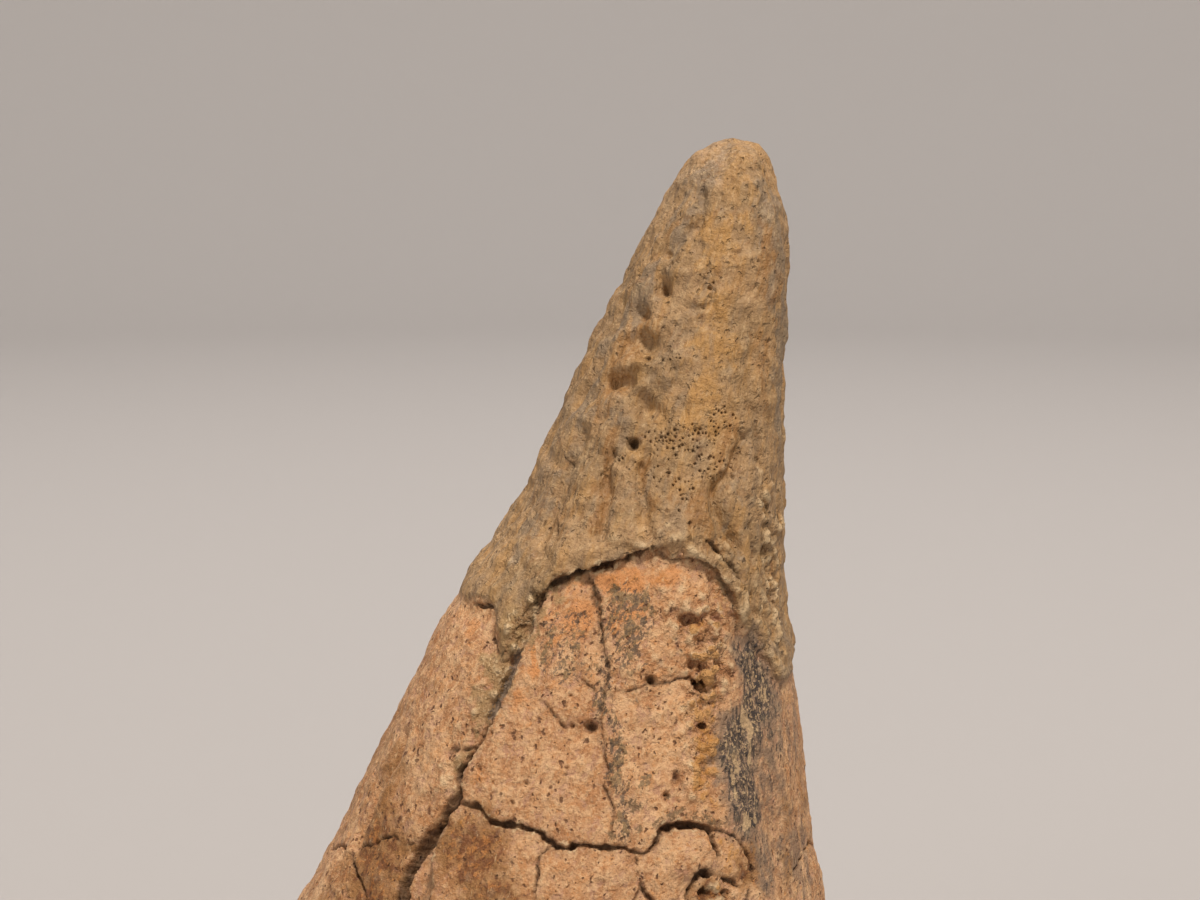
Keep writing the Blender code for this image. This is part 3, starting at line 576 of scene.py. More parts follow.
# An upright sheet on one side of the bone. Lines from an eye carry a drawing on it to the bone.
class Sheet:
    def __init__(self, azimuth, tree):
        turn = Matrix.Rotation(math.radians(azimuth), 3, "Z")
        pitch = scute["eyePitch"]
        self.right = turn @ Vector((1, 0, 0))
        self.up = turn @ Vector((0, math.sin(pitch), math.cos(pitch)))
        self.ahead = turn @ Vector((0, math.cos(pitch), -math.sin(pitch)))
        self.eye = self.point(*scute["sheetMiddle"]) - self.ahead * scute["eyeDistance"]
        self.tree = tree

    def point(self, across, up):
        middle = scute["sheetMiddle"][1]
        return self.right * across + self.up * (up - middle) + Vector((0, 0, middle))

    def onBone(self, across, up):
        place, normal, _, _ = self.tree.ray_cast(self.eye, (self.point(across, up) - self.eye).normalized())
        if place is None:
            raise ValueError(f"the point {across}, {up} of a drawing misses the bone")
        return place, normal


# The route as a smooth line with points a step apart
def spaced(route, step):
    p = np.array(route, float)
    p = np.concatenate([[2 * p[0] - p[1]], p, [2 * p[-1] - p[-2]]])
    line = []
    for a, b, c, d in zip(p, p[1:], p[2:], p[3:]):
        count = max(1, round(np.linalg.norm(c - b) / step))
        for t in np.arange(count) / count:
            line.append(b + 0.5 * t * (c - a + t * (2 * a - 5 * b + 4 * c - d + t * (3 * (b - c) + d - a))))
    return line + [p[-2]]


def treeOf(places):
    tree = KDTree(len(places))
    for i, place in enumerate(places):
        tree.insert(place, i)
    tree.balance()
    return tree


# How far each point is from the nearest place, and which place that is
def nearest(places, points):
    tree = treeOf(places)
    found = [tree.find(p)[1:] for p in points]
    return np.array([f[1] for f in found]), np.array([f[0] for f in found], int)


def placesAlong(routes, sheets, step=0.8):
    return [sheets[side].onBone(*spot)[0] for side, route in routes for spot in spaced(route, step)]


def distanceTo(routes, sheets, points, step=0.8):
    return nearest(placesAlong(routes, sheets, step), points)[0]


# How far each point is from an oval's middle, in its half widths and heights
def ovalDistance(sheet, across, up, halfWidth, halfHeight, points):
    place, normal = (np.array(v) for v in sheet.onBone(across, up))
    side = unit(np.array(sheet.right) - normal * normal.dot(sheet.right))
    rise = np.cross(normal, side)
    away = points - place
    deep = away @ normal / max(halfWidth, halfHeight, 2.0)
    return np.sqrt((away @ side / halfWidth) ** 2 + (away @ rise / halfHeight) ** 2 + deep**2)


def noiseAt(points, size, shift=0.0):
    return np.array([noise.noise(Vector(p)) for p in points / np.array(size) + np.array(shift)])


# How far the outlines of each kind of mark stray: the noise's size, its shift and its reach
straying = {
    "cracks": [(0.34, 13.0, 0.08), (0.8, 11.0, 0.20), (2.6, 7.0, 0.30)],
    "grooves": [(3.0, 19.0, 0.5)],
    "dents": [(1.7, 23.0, 0.7)],
    "holes": [(0.7, 17.0, 0.12)],
    "stains": [(2.4, 29.0, 1.0), (0.9, 29.0, 0.45)],
}


def strayed(points, kind):
    moved = points
    for size, shift, reach in straying[kind]:
        moved = moved + reach * np.stack([noiseAt(points, size, shift * k) for k in (1, 2, 3)], axis=1)
    return moved


# The height of the break line at the angle of each point round the bone
def breakHeight(sheets, points):
    places = np.array(placesAlong(breakLine, sheets))
    at, outsideAt = curveThrough(outside)
    rows = outsideAt(np.linspace(0.0, at[-1], 200))[::-1]

    def angle(p):
        x = np.interp(p[:, 2], rows[:, 0], (rows[:, 1] + rows[:, 2]) / 2)
        y = np.interp(p[:, 2], rows[:, 0], (rows[:, 3] + rows[:, 4]) / 2)
        return np.arctan2(p[:, 1] - y, p[:, 0] - x)

    line = angle(places)
    order = np.argsort(line)
    return np.interp(angle(points), line[order], places[order, 2], period=math.tau)


# Broad swellings, smaller ones, flutes that run up to the tip, and a knobbly foot: the noise's size, its
# shift and how high it stands
swellings = {
    "broad": ((13.0, 13.0, 24.0), (0.0, 0.0, 0.0), 0.55),
    "small": ((5.5, 5.5, 8.0), (7.0, 0.0, 0.0), 0.22),
    "flutes": ((4.2, 4.2, 40.0), (0.0, 3.0, 0.0), 0.26),
    "foot": ((4.0, 4.0, 5.0), (0.0, 0.0, -9.0), 0.45),
}
footTop = 16.0  # the knobbly foot fades out up to here


def swell(points):
    rise = np.zeros(len(points))
    for name, (size, shift, height) in swellings.items():
        lump = noiseAt(points, size, shift)
        if name == "foot":
            lump = lump * smoothStep(1 - points[:, 2] / footTop)
        rise = rise + height * lump
    return rise


def pressDents(points, sheets):
    warped = strayed(points, "dents")
    depthHere = np.zeros(len(points))
    for side, *oval, depth in rowsOf(dents):
        depthHere += depth * np.exp(-ovalDistance(sheets[side], *oval, warped) ** 3)
    return depthHere


def relief(points, sheets):
    rise = swell(points)
    for line in (keel, furrow):
        rise += line["rise"] * bell(distanceTo(line["routes"], sheets, points) / line["width"])
    above = points[:, 2] - breakHeight(sheets, points)
    rise += ledge["rise"] * smoothStep(above + 0.5) * np.exp(-np.maximum(above, 0) / ledge["fade"])
    edge = distanceTo([(side, route) for side, *_, route in rowsOf(cracks)], sheets, points)
    return rise - shoulder["drop"] * bell(edge / shoulder["width"])


def sheetsOn(points, faces):
    tree = BVHTree.FromPolygons(points.tolist(), faces.tolist())
    return {azimuth: Sheet(azimuth, tree) for azimuth in (front, right, back, left)}


# How long an edge may be: shorter on the face, and shortest at its cracks, holes and pores
def edgeLimit(sheets):
    eye = np.array(sheets[front].eye)
    marks, reach = [], []
    for side, width, _, _, route in rowsOf(cracks):
        places = placesAlong([(side, route)], sheets, mesh["markSpacing"])
        marks += places
        reach += [width / 2 + mesh["crackReach"]] * len(places)
    for side, across, up, halfWidth, halfHeight, _ in rowsOf(holes):
        marks.append(sheets[side].onBone(across, up)[0])
        reach.append(max(halfWidth, halfHeight) + mesh["holeReach"])
    reach = np.array(reach)

    def longest(middles, normals):
        facing = np.sum((eye - middles) * normals, axis=1) > mesh["faceTurn"]
        seen = facing & (middles[:, 2] > mesh["faceBottom"])
        limit = np.where(seen, mesh["faceEdge"], mesh["bodyEdge"])
        distance, which = nearest(marks, middles)
        close = distance < reach[which]
        limit = np.where(close, np.where(seen, mesh["crackEdge"], mesh["farCrackEdge"]), limit)
        knobbly = paintField(middles, sheets, fields["rough"]) > mesh["knobbly"]
        limit = np.where(knobbly, np.minimum(limit, mesh["knobEdge"]), limit)
        for side, *oval, _ in rowsOf(fields["pores"]):
            pored = ovalDistance(sheets[side], *oval, middles) < mesh["poreReach"]
            limit = np.where(pored, mesh["poreEdge"], limit)
        return limit

    return longest


# What weather leaves: flutes up the bone with creases between them, lumps and dimples. Each is a noise's size
# and shift.
weathering = {
    "flutes": ((2.2, 2.2, 12.0), 41.0),
    "lumps": (3.4, 43.0),
    "dimples": (1.5, 47.0),
}
creaseLevel = 0.2  # the noise at which a flute is neither raised nor sunk
weathered = {  # how high each stands on the upper bone's skin and on the plates
    "skin": {"flutes": 0.42, "lumps": 0.20, "dimples": 0.26},
    "plate": {"flutes": 0.05, "lumps": 0.12, "dimples": 0.14},
}


def weather(points, lower):
    rough = {name: noiseAt(points, size, shift) for name, (size, shift) in weathering.items()}
    rough["flutes"] = np.abs(rough["flutes"]) - creaseLevel
    skin, plate = (sum(amount * rough[name] for name, amount in weathered[zone].items())
                   for zone in ("skin", "plate"))
    return skin * (1 - lower) + plate * lower


crackShape = {
    "spacing": 0.12,     # from place to place along a crack
    "endShare": 0.25,    # how much of its width is left at its ends
    "wobble": 0.32,      # the most that its half width varies, and less on a wide one
    "leastHalf": 0.20,   # the narrowest half width that the mesh can hold
    "wallCurve": 1.6,    # above 1, its walls are steep at the top
    "darkSpill": 0.06,   # how far its painted shade reaches past its edge
    "darkFade": 0.24,
    "darkFull": 1.3,     # the depth, in its widths, that is fully dark with painted shade
    "halo": 0.30,        # how dark the painted shadow on the ground beside a stepped one is
    "haloWidth": 0.45,
    "haloFull": 0.40,    # the step that has all of that painted shadow
    "bankWidth": 0.18,   # how soon one bank has turned into the other
    "stepFade": 2.2,     # how far out a step fades away
    "lipWidth": 0.35,    # of its worn edge, painted pale as a highlight too
    "lipFull": 0.45,     # the step whose edge is fully worn and lit by painted highlight
    "lipLeast": 0.15,
}


# How deep each point lies in the cracks, how far each crack's step moves it, how worn its edges are, painted
# pale as a highlight too, and how dark its painted shade is
def cutCracks(points, sheets):
    shape = crackShape
    cut, moved, wornAndLit, crackShade = (np.zeros(len(points)) for _ in range(4))
    warped = strayed(points, "cracks")
    for side, width, depth, step, route in rowsOf(cracks):
        line = [sheets[side].onBone(*spot) for spot in spaced(route, shape["spacing"])]
        places = np.array([place for place, _ in line])
        normals = np.array([normal for _, normal in line])
        t = np.linspace(0.0, 1.0, len(line))
        share = shape["endShare"] + (1 - shape["endShare"]) * 2 * np.sqrt(t * (1 - t))
        most = min(width / 2, shape["wobble"] / max(width, 1.0) ** 2)
        wobble = most * (0.9 * noiseAt(places, 1.1, 5.0) + 0.4 * noiseAt(places, 0.4, 9.0))
        half = np.maximum((width / 2 + wobble) * share, shape["leastHalf"])
        inBox = (points > places.min(axis=0) - 5) & (points < places.max(axis=0) + 5)
        near = np.all(inBox, axis=1).nonzero()[0]
        distance, which = nearest(places, warped[near])
        half, share = half[which], share[which]
        across = np.cross(normals, unit(np.gradient(places, axis=0)))[which]
        bank = np.sum((warped[near] - places[which]) * across, axis=1)
        core = np.clip(1 - distance / half, 0, 1)
        steep = min(1.0, depth / width / shape["darkFull"]) * np.sqrt(share)
        halo = shape["halo"] * min(1.0, step / shape["haloFull"])
        shaded = halo * bell(distance / (half + shape["haloWidth"]))
        lip = bell(np.maximum(distance - half, 0) / shape["lipWidth"])
        # Painted shade fills each crack by its depth and falls as a painted shadow beside a raised bank
        for total, here in (
                (cut, depth * share * (1 - (1 - core) ** shape["wallCurve"])),
                (crackShade, smoothStep((half + shape["darkSpill"] - distance) / shape["darkFade"]) * steep),
                (crackShade, shaded * share),
                (wornAndLit, lip * share * np.clip(step / shape["lipFull"], shape["lipLeast"], 1.0))):
            total[near] = np.maximum(total[near], here)
        fade = np.exp(-distance / shape["stepFade"]) * share
        moved[near] += 0.5 * step * np.tanh(bank / shape["bankWidth"]) * fade
    return cut, moved, wornAndLit, crackShade


def pressGrooves(points, sheets):
    warped = strayed(points, "grooves")
    depthHere = np.zeros(len(points))
    for side, halfWidth, depth, route in rowsOf(grooves):
        depthHere += depth * bell(distanceTo([(side, route)], sheets, warped, halfWidth / 4) / halfWidth)
    return depthHere


def drillHoles(points, sheets):
    warped = strayed(points, "holes")
    depthHere = np.zeros(len(points))
    for side, *oval, depth in rowsOf(holes):
        share = np.clip(1 - ovalDistance(sheets[side], *oval, warped), 0, 1)
        depthHere = np.maximum(depthHere, depth * share**0.7)
    return depthHere


fieldEdge = {"oval": 1.9, "band": 2.0, "fade": 1.5}  # in half widths: where each ends, and how far it fades


def paintField(points, sheets, field):
    amount = np.zeros(len(points))
    for side, *row in rowsOf(field):
        if len(row) == 5:
            *oval, most = row
            inside = fieldEdge["oval"] - ovalDistance(sheets[side], *oval, points)
        else:
            halfWidth, most, route = row
            away = distanceTo([(side, route)], sheets, points, halfWidth / 3) / halfWidth
            inside = fieldEdge["band"] - away
        amount = np.maximum(amount, most * smoothStep(inside / fieldEdge["fade"]))
    return amount


def addObject(name, data):
    obj = bpy.data.objects.new(name, data)
    bpy.context.scene.collection.objects.link(obj)
    return obj


def addMesh(name, points, faces):
    data = bpy.data.meshes.new(name)
    data.from_pydata(points, [], faces)
    data.shade_smooth()
    return addObject(name, data)


def storeValues(data, name, values):
    kind = "FLOAT" if values.ndim == 1 else "FLOAT_VECTOR"
    layer = data.attributes.new(name, kind, "POINT")
    layer.data.foreach_set("value" if values.ndim == 1 else "vector", values.astype(np.float32).ravel())


bakeMargin = {"side": 0.02, "end": 0.01}  # kept free round the map, as a share of the square


# The way round against the way along, cut open down the back
def addBakeMap(data, spots):
    turn = np.arctan2(spots[:, 0], -spots[:, 1]) / math.tau + 0.5
    corners = np.empty(len(data.loops), np.int32)
    data.loops.foreach_get("vertex_index", corners)
    u = turn[corners].reshape(-1, 3)
    pole = (np.hypot(spots[:, 0], spots[:, 1]) < 1e-6)[corners].reshape(-1, 3)
    low = np.where(pole, 1.0, u).min(axis=1, keepdims=True)
    wide = (np.where(pole, 0.0, u).max(axis=1, keepdims=True) - low) > 0.5
    u = np.where(wide & (u < 0.5), u + 1.0, u)
    others = np.maximum((~pole).sum(axis=1, keepdims=True), 1)
    u = np.where(pole, np.where(pole, 0.0, u).sum(axis=1, keepdims=True) / others, u)
    v = 1.0 - spots[corners, 2] / spots[:, 2].max()
    u = (u.ravel() + bakeMargin["side"]) / (1 + 3 * bakeMargin["side"])
    v = bakeMargin["end"] + (1 - 2 * bakeMargin["end"]) * v
    layer = data.uv_layers.new(name="OFBake")
    layer.data.foreach_set("uv", np.column_stack([u, v]).astype(np.float32).ravel())


# Adds a node, sets its settings by name and its inputs by name or place, and gives back one of its outputs
def addNode(tree, kind, inputs=None, out=0, **settings):
    node = tree.nodes.new(kind)
    for name, value in settings.items():
        setattr(node, name, value)
    for key, value in (inputs or {}).items():
        if isinstance(value, bpy.types.NodeSocket):
            tree.links.new(value, node.inputs[key])
        else:
            node.inputs[key].default_value = value
    return node.outputs[out] if len(node.outputs) else None


surfaceDetail = {
    "Pore Spacing": 0.27 * mm,
    "Pore Width": 0.125 * mm,
    "Pore Depth": 0.28 * mm,
    "Knob Size": 1.5 * mm,
    "Knob Height": 1.90 * mm,
    "Lump Size": 1.05 * mm,
    "Lump Height": 1.60 * mm,
    "Seed": 4,
}


poreShape = {
    "sizes": (0.3, 1.35),  # smallest and largest, as a share of "Pore Width"
    "most": 9e6,           # of them to a square metre, before they are thinned to their spacing
    "ragged": 0.5,         # size of the bites in their edges, in millimetres
    "bite": 1.2,           # how deep the bites go, as a share of a pore's size
    "inner": 0.45,         # a pore is full depth up to here from its middle, as a share of its size
    "outer": 1.15,         # and it ends here
}
lumpTop = 0.50  # lumps stand out up to here from their middles, as a share of "Lump Size"


# Geometry Nodes: vessel pores scattered where the bone is spongy, and the knobs and lumps of rough bone.
# Each point of the bone is moved in or out, and keeps how far as its "dip" for the colours, which paint
# shade in the dips and highlights on the crests. The pores' mask, "poreShade", is for their painted shade.
def surfaceTree(material):
    tree = bpy.data.node_groups.new("bone surface", "GeometryNodeTree")
    tree.interface.new_socket("Geometry", in_out="INPUT", socket_type="NodeSocketGeometry")
    for name, value in surfaceDetail.items():
        kind = "NodeSocketInt" if isinstance(value, int) else "NodeSocketFloat"
        tree.interface.new_socket(name, in_out="INPUT", socket_type=kind).default_value = value
    tree.interface.new_socket("Geometry", in_out="OUTPUT", socket_type="NodeSocketGeometry")
    addNode(tree, "NodeGroupInput")
    ins = tree.nodes[-1].outputs
    field = {name: addNode(tree, "GeometryNodeInputNamedAttribute", {"Name": name}, data_type="FLOAT")
             for name in ("pores", "rough", "rim", "poreSize")}
    here = addNode(tree, "GeometryNodeInputPosition")

    points = addNode(tree, "GeometryNodeDistributePointsOnFaces", {
        "Mesh": ins["Geometry"], "Distance Min": ins["Pore Spacing"], "Density Max": poreShape["most"],
        "Density Factor": field["pores"], "Seed": ins["Seed"]}, distribute_method="POISSON")
    least, most = poreShape["sizes"]
    sizes = addNode(tree, "FunctionNodeRandomValue", {2: least, 3: most, "Seed": ins["Seed"]}, out=1)
    points = addNode(tree, "GeometryNodeStoreNamedAttribute", {
        "Geometry": points, "Name": "poreSize", "Value": sizes}, domain="POINT")
    closest = addNode(tree, "GeometryNodeSampleNearest", {"Geometry": points}, domain="POINT")
    size = addNode(tree, "GeometryNodeSampleIndex", {
        "Geometry": points, "Value": field["poreSize"], "Index": closest})
    place = addNode(tree, "GeometryNodeSampleIndex", {
        "Geometry": points, "Value": here, "Index": closest}, data_type="FLOAT_VECTOR")
    away = addNode(tree, "ShaderNodeVectorMath", {0: here, 1: place}, out=1, operation="DISTANCE")
    radius = addNode(tree, "ShaderNodeMath", {0: ins["Pore Width"], 1: size}, operation="MULTIPLY")
    away = addNode(tree, "ShaderNodeMath", {0: away, 1: radius}, operation="DIVIDE")
    ragged = addNode(tree, "ShaderNodeTexNoise", {
        "Vector": here, "Scale": 1 / (poreShape["ragged"] * mm), "Detail": 1.0})
    away = addNode(tree, "ShaderNodeMath", {
        0: ragged, 1: poreShape["bite"], 2: away}, operation="MULTIPLY_ADD")
    away = addNode(tree, "ShaderNodeMath", {0: away, 1: poreShape["bite"] / 2}, operation="SUBTRACT")
    inside = addNode(tree, "ShaderNodeMapRange", {
        "Value": away, 1: poreShape["inner"], 2: poreShape["outer"], 3: 1.0, 4: 0.0},
        interpolation_type="SMOOTHSTEP")
    spongy = addNode(tree, "ShaderNodeMath", {0: field["pores"], 1: 0.001}, operation="GREATER_THAN")
    poreShade = addNode(tree, "ShaderNodeMath", {0: inside, 1: spongy}, operation="MULTIPLY")

    perKnob = addNode(tree, "ShaderNodeMath", {0: 1.0, 1: ins["Knob Size"]}, operation="DIVIDE")
    knobs = addNode(tree, "ShaderNodeTexNoise", {
        "Vector": here, "Scale": perKnob, "Detail": 4.0, "Roughness": 0.6, "Distortion": 0.3})
    knobs = addNode(tree, "ShaderNodeMath", {0: knobs, 1: 0.5}, operation="SUBTRACT")
    knobs = addNode(tree, "ShaderNodeMath", {0: knobs, 1: ins["Knob Height"]}, operation="MULTIPLY")
    perLump = addNode(tree, "ShaderNodeMath", {0: 1.0, 1: ins["Lump Size"]}, operation="DIVIDE")
    lumps = addNode(tree, "ShaderNodeTexVoronoi", {
        "Vector": here, "Scale": perLump, "Smoothness": 0.4}, feature="SMOOTH_F1")
    lumps = addNode(tree, "ShaderNodeMath", {0: lumpTop, 1: lumps}, operation="SUBTRACT")
    lumps = addNode(tree, "ShaderNodeMath", {0: lumps, 1: ins["Lump Height"]}, operation="MULTIPLY")
    rise = addNode(tree, "ShaderNodeMath", {0: knobs, 1: lumps}, operation="ADD")
    rise = addNode(tree, "ShaderNodeMath", {0: rise, 1: field["rough"]}, operation="MULTIPLY")
    pressed = addNode(tree, "ShaderNodeMath", {0: poreShade, 1: ins["Pore Depth"]}, operation="MULTIPLY")
    offset = addNode(tree, "ShaderNodeMath", {0: rise, 1: pressed}, operation="SUBTRACT")
    normal = addNode(tree, "GeometryNodeInputNormal")
    offset = addNode(tree, "ShaderNodeVectorMath", {0: normal, "Scale": offset}, operation="SCALE")

    bone = addNode(tree, "GeometryNodeStoreNamedAttribute", {
        "Geometry": ins["Geometry"], "Name": "poreShade", "Value": poreShade}, domain="POINT")
    dip = addNode(tree, "ShaderNodeMath", {0: rise, 1: 1 / mm}, operation="MULTIPLY")
    bone = addNode(tree, "GeometryNodeStoreNamedAttribute", {
        "Geometry": bone, "Name": "dip", "Value": dip}, domain="POINT")
    free = addNode(tree, "FunctionNodeCompare", {0: field["rim"], 1: 0.5}, operation="LESS_THAN")
    bone = addNode(tree, "GeometryNodeSetPosition", {"Geometry": bone, "Offset": offset, "Selection": free})
    bone = addNode(tree, "GeometryNodeRealizeInstances", {"Geometry": bone})
    bone = addNode(tree, "GeometryNodeSetMaterial", {"Geometry": bone, "Material": material})
    addNode(tree, "NodeGroupOutput", {0: bone})
    return tree


# Runs a node tree on a piece and leaves plain mesh in its place
def applyTree(piece, tree, values):
    modifier = piece.modifiers.new("surface", "NODES")
    modifier.node_group = tree
    for item in tree.interface.items_tree:
        if item.in_out == "INPUT" and item.name in values:
            modifier[item.identifier] = values[item.name]
    graph = bpy.context.evaluated_depsgraph_get()
    made = bpy.data.meshes.new_from_object(piece.evaluated_get(graph), depsgraph=graph)
    made.name = piece.name
    piece.modifiers.remove(modifier)
    piece.data = made


def linear(hexColour, alpha=1.0):
    channels = [int(hexColour[i:i + 2], 16) / 255 for i in (1, 3, 5)]
    return (*(c / 12.92 if c <= 0.04045 else ((c + 0.055) / 1.055) ** 2.4 for c in channels), alpha)


# Fossil bone: bone turned to stone, dull and dry. Weathered outside it is tan, and where its skin has
# broken off it is peach, flecked grey where the vessel canals are filled. Fine fibres run to the tip.
# Shade in its cracks, holes, pores, pits, dents and dips and along its outlines, and highlights on its
# crests and crack lips, are painted into its colour.
boneLook = {
    "roughness": (0.55, 0.86),
    "specular": 0.36,
    "ior": 1.55,
    "ragged": 0.9,            # how far specks and knobs stray from round, in millimetres
    "raggedScale": 1.4,       # how many of those bends there are to a millimetre
    "speckSize": 0.37,        # the largest speck, as a share of the space between them
    "poreDark": 0.55,         # how dark the painted shade in the pores is against the cracks'
    "wallDark": 0.25,         # how much of the painted shade stays on a bare grey crack wall
    "tones": (0.36, 0.64),    # the darkest and lightest of the flat tones
    "crumbSpan": (0.3, 0.7),  # the crumb pattern's values where the bone is smoothest and roughest
    "colours": {
        "tan": "#a98861", "tanDeep": "#91744f", "golden": "#b38850", "greyTan": "#8b775f", "rust": "#8f6435",
        "skinPale": "#d2b287", "skinDark": "#644a33", "peach": "#c3966c", "peachPale": "#dcb489",
        "peachBrown": "#a87348", "peachPink": "#b58a70", "orange": "#cc8b53", "amber": "#c58344",
        "cement": "#806b4a", "fleck": "#5e4d3e", "flakeDark": "#643e26", "ochre": "#be8642",
        # hollow is the dark brown of the painted shade in cracks, holes, pores, pits and the matrix's holes
        "green": "#5a4a30", "manganese": "#36302f", "matrix": "#a3845a", "hollow": "#3a2617",
        "greyStone": "#826e5c", "pale": "#e2c79d", "wallGrey": "#7d6f62", "bevelPink": "#a98768",
        "rustDeep": "#6f4022",
    },
    # name: sort, how much it is stretched along the bone, size in millimetres, detail, roughness, distortion
    "patterns": {
        "drift": ("noise", 1.0, 6.0, 2.0, 0.55, 0.0),
        "streak": ("noise", 6.0, 1.5, 3.0, 0.62, 0.0),
        "mottle": ("noise", 1.0, 2.1, 4.0, 0.62, 0.1),
        "patch": ("noise", 1.4, 1.0, 3.0, 0.66, 0.2),
        "crumb": ("noise", 1.1, 0.70, 3.0, 0.66, 0.0),
        "grit": ("noise", 1.0, 0.30, 2.0, 0.60, 0.0),  # coarser than real bone grain, so that it shows
        "fibre": ("noise", 5.0, 0.34, 2.0, 0.62, 0.0),
        "fleck": ("noise", 1.5, 0.42, 4.0, 0.76, 0.2),
        "tones": ("tones", 1.3, 1.7, 0.0, 0.0, 0.0),
        "specks": ("specks", 1.5, 0.66, 0.0, 0.0, 0.0),
        "pits": ("specks", 1.2, 0.85, 0.0, 0.0, 0.0),
        "knobs": ("knobs", 1.0, 1.0, 0.0, 0.0, 0.0),
    },
    # colour, pattern, where it starts and is full on the pattern, the most it covers, and its field if any
    "skin": [
        ("tanDeep", "drift", 0.42, 0.62, 0.7),
        ("golden", "mottle", 0.30, 0.50, 0.85, "golden"),
        # Grey along the front's outlines is painted shade, and elsewhere grey stone
        ("greyTan", "mottle", 0.30, 0.48, 0.85, "greyed"),
        ("golden", "streak", 0.50, 0.62, 0.5),
        ("greyTan", "streak", 0.47, 0.36, 0.5),
        ("rust", "patch", 0.56, 0.68, 0.45),
        ("rust", "streak", 0.32, 0.54, 0.65, "rust"),
        ("skinPale", "fibre", 0.54, 0.70, 0.34),
        ("skinDark", "fibre", 0.45, 0.30, 0.34),
        ("skinDark", "grit", 0.43, 0.30, 0.40),
        ("skinPale", "crumb", 0.57, 0.72, 0.35),
        ("skinDark", "specks", 0.30, 0.60, 0.34),
        # Painted shade in the dents and grooves
        ("skinDark", "crumb", 0.34, 0.66, 0.18, "dirt"),
    ],
    "plate": [
        ("peachPale", "drift", 0.44, 0.62, 0.6),
        ("amber", "patch", 0.50, 0.62, 0.40),
        ("peachBrown", "tones", 0.48, 0.38, 0.30),
        ("peachBrown", "streak", 0.48, 0.62, 0.6),
        ("peachBrown", "mottle", 0.48, 0.36, 0.6),
        ("peachPink", "patch", 0.46, 0.36, 0.6),
        ("peachPale", "crumb", 0.52, 0.62, 0.6),
        ("peachPale", "grit", 0.55, 0.68, 0.55),
        ("rust", "mottle", 0.12, 0.50, 0.85, "rust"),
        ("rustDeep", "patch", 0.42, 0.55, 0.75, "rust"),
        ("amber", "crumb", 0.52, 0.62, 0.50, "rust"),
        ("flakeDark", "grit", 0.57, 0.64, 0.70, "rust"),
        ("orange", "mottle", 0.26, 0.46, 0.80, "orange"),
        ("orange", "tones", 0.44, 0.50, 0.60, "orange"),
        ("amber", "patch", 0.50, 0.58, 0.70, "orange"),
        ("greyStone", "streak", 0.34, 0.54, 0.70, "greyed"),
        ("skinDark", "fibre", 0.50, 0.60, 0.60, "greyed"),
        ("skinPale", "fibre", 0.36, 0.30, 0.50),
        ("ochre", "crumb", 0.36, 0.56, 0.80, "ochre"),
        ("cement", "patch", 0.50, 0.56, 0.80, "flecked"),
        # Green stain, and painted shade along a crack
        ("green", "fleck", 0.34, 0.50, 0.75, "green"),
        ("flakeDark", "grit", 0.44, 0.30, 0.50),
        ("flakeDark", "specks", 0.05, 0.45, 0.85),
        ("amber", "pits", 0.20, 0.50, 0.45),
        ("fleck", "fleck", 0.60, 0.68, 0.30),
        ("fleck", "fleck", 0.48, 0.55, 0.85, "flecked"),
        # Painted shade in the dents and grooves
        ("flakeDark", "crumb", 0.34, 0.66, 0.60, "dirt"),
    ],
    "over": [
        ("matrix", "patch", 0.20, 0.44, 0.85, "matrix"),
        # The matrix's holes, darkened with the hollow brown as painted shade
        ("hollow", "crumb", 0.60, 0.68, 0.60, "matrix"),
        ("pale", "grit", 0.52, 0.64, 0.60, "matrix"),
        ("greyStone", "patch", 0.10, 0.44, 0.85, "manganese"),
        ("manganese", "crumb", 0.44, 0.56, 0.75, "manganese"),
        ("manganese", "fibre", 0.42, 0.52, 0.80, "manganese"),
        ("skinPale", "streak", 0.54, 0.60, 0.60, "manganese"),
        ("skinPale", "grit", 0.53, 0.62, 0.60, "manganese"),
        # Painted shade in the dips between knobs and lumps, and a painted highlight on their crests
        ("rustDeep", "crest", 0.38, 0.14, 0.30),
        ("pale", "crest", 0.50, 0.76, 0.60),
        ("ochre", "crest", 0.46, 0.60, 0.70, "ochre"),
        # Painted shade in the pits where the bone is pitted
        ("hollow", "pits", 0.20, 0.50, 0.80, "pitted"),
        ("wallGrey", "grit", 0.30, 0.44, 0.80, "wall"),
        ("bevelPink", "crumb", 0.30, 0.60, 0.70, "bevel"),
        # Crack lips painted pale: wear, and a painted highlight where a raised edge catches the light
        ("pale", "crumb", 0.34, 0.60, 0.70, "wear"),
    ],
    # pattern, how high it stands in millimetres on the skin, on the plates and where the bone is rough
    "relief": [
        ("mottle", 0.70, 0.22, 0.0), ("streak", 0.45, 0.12, 0.0), ("crumb", 0.12, 0.20, 0.55),
        ("grit", 0.04, 0.10, 0.20), ("fibre", 0.06, 0.08, 0.0), ("fleck", 0.0, -0.10, 0.0),
        ("patch", 0.15, 0.30, 0.40), ("specks", -0.20, -0.18, -0.10), ("knobs", 0.0, 0.0, -0.50),
        ("pits", -0.25, 0.0, -0.30),
    ],
}


# Layers of colour, one over another. Each shows where its pattern, helped by its field, passes a level.
def stain(tree, base, patterns, fieldOf, layers):
    for colour, pattern, low, high, most, *helpers in layers:
        value = patterns[pattern]
        for field in helpers:
            value = addNode(tree, "ShaderNodeMath", {0: fieldOf[field], 1: 0.5, 2: value},
                            operation="MULTIPLY_ADD")
            low, high = low + 0.5, high + 0.5
        share = addNode(tree, "ShaderNodeMapRange", {"Value": value, 1: low, 2: high, 3: 0.0, 4: most},
                        interpolation_type="SMOOTHSTEP")
        base = addNode(tree, "ShaderNodeMix", {0: share, 6: base, 7: linear(boneLook["colours"][colour])},
                       out=2, data_type="RGBA")
    return base


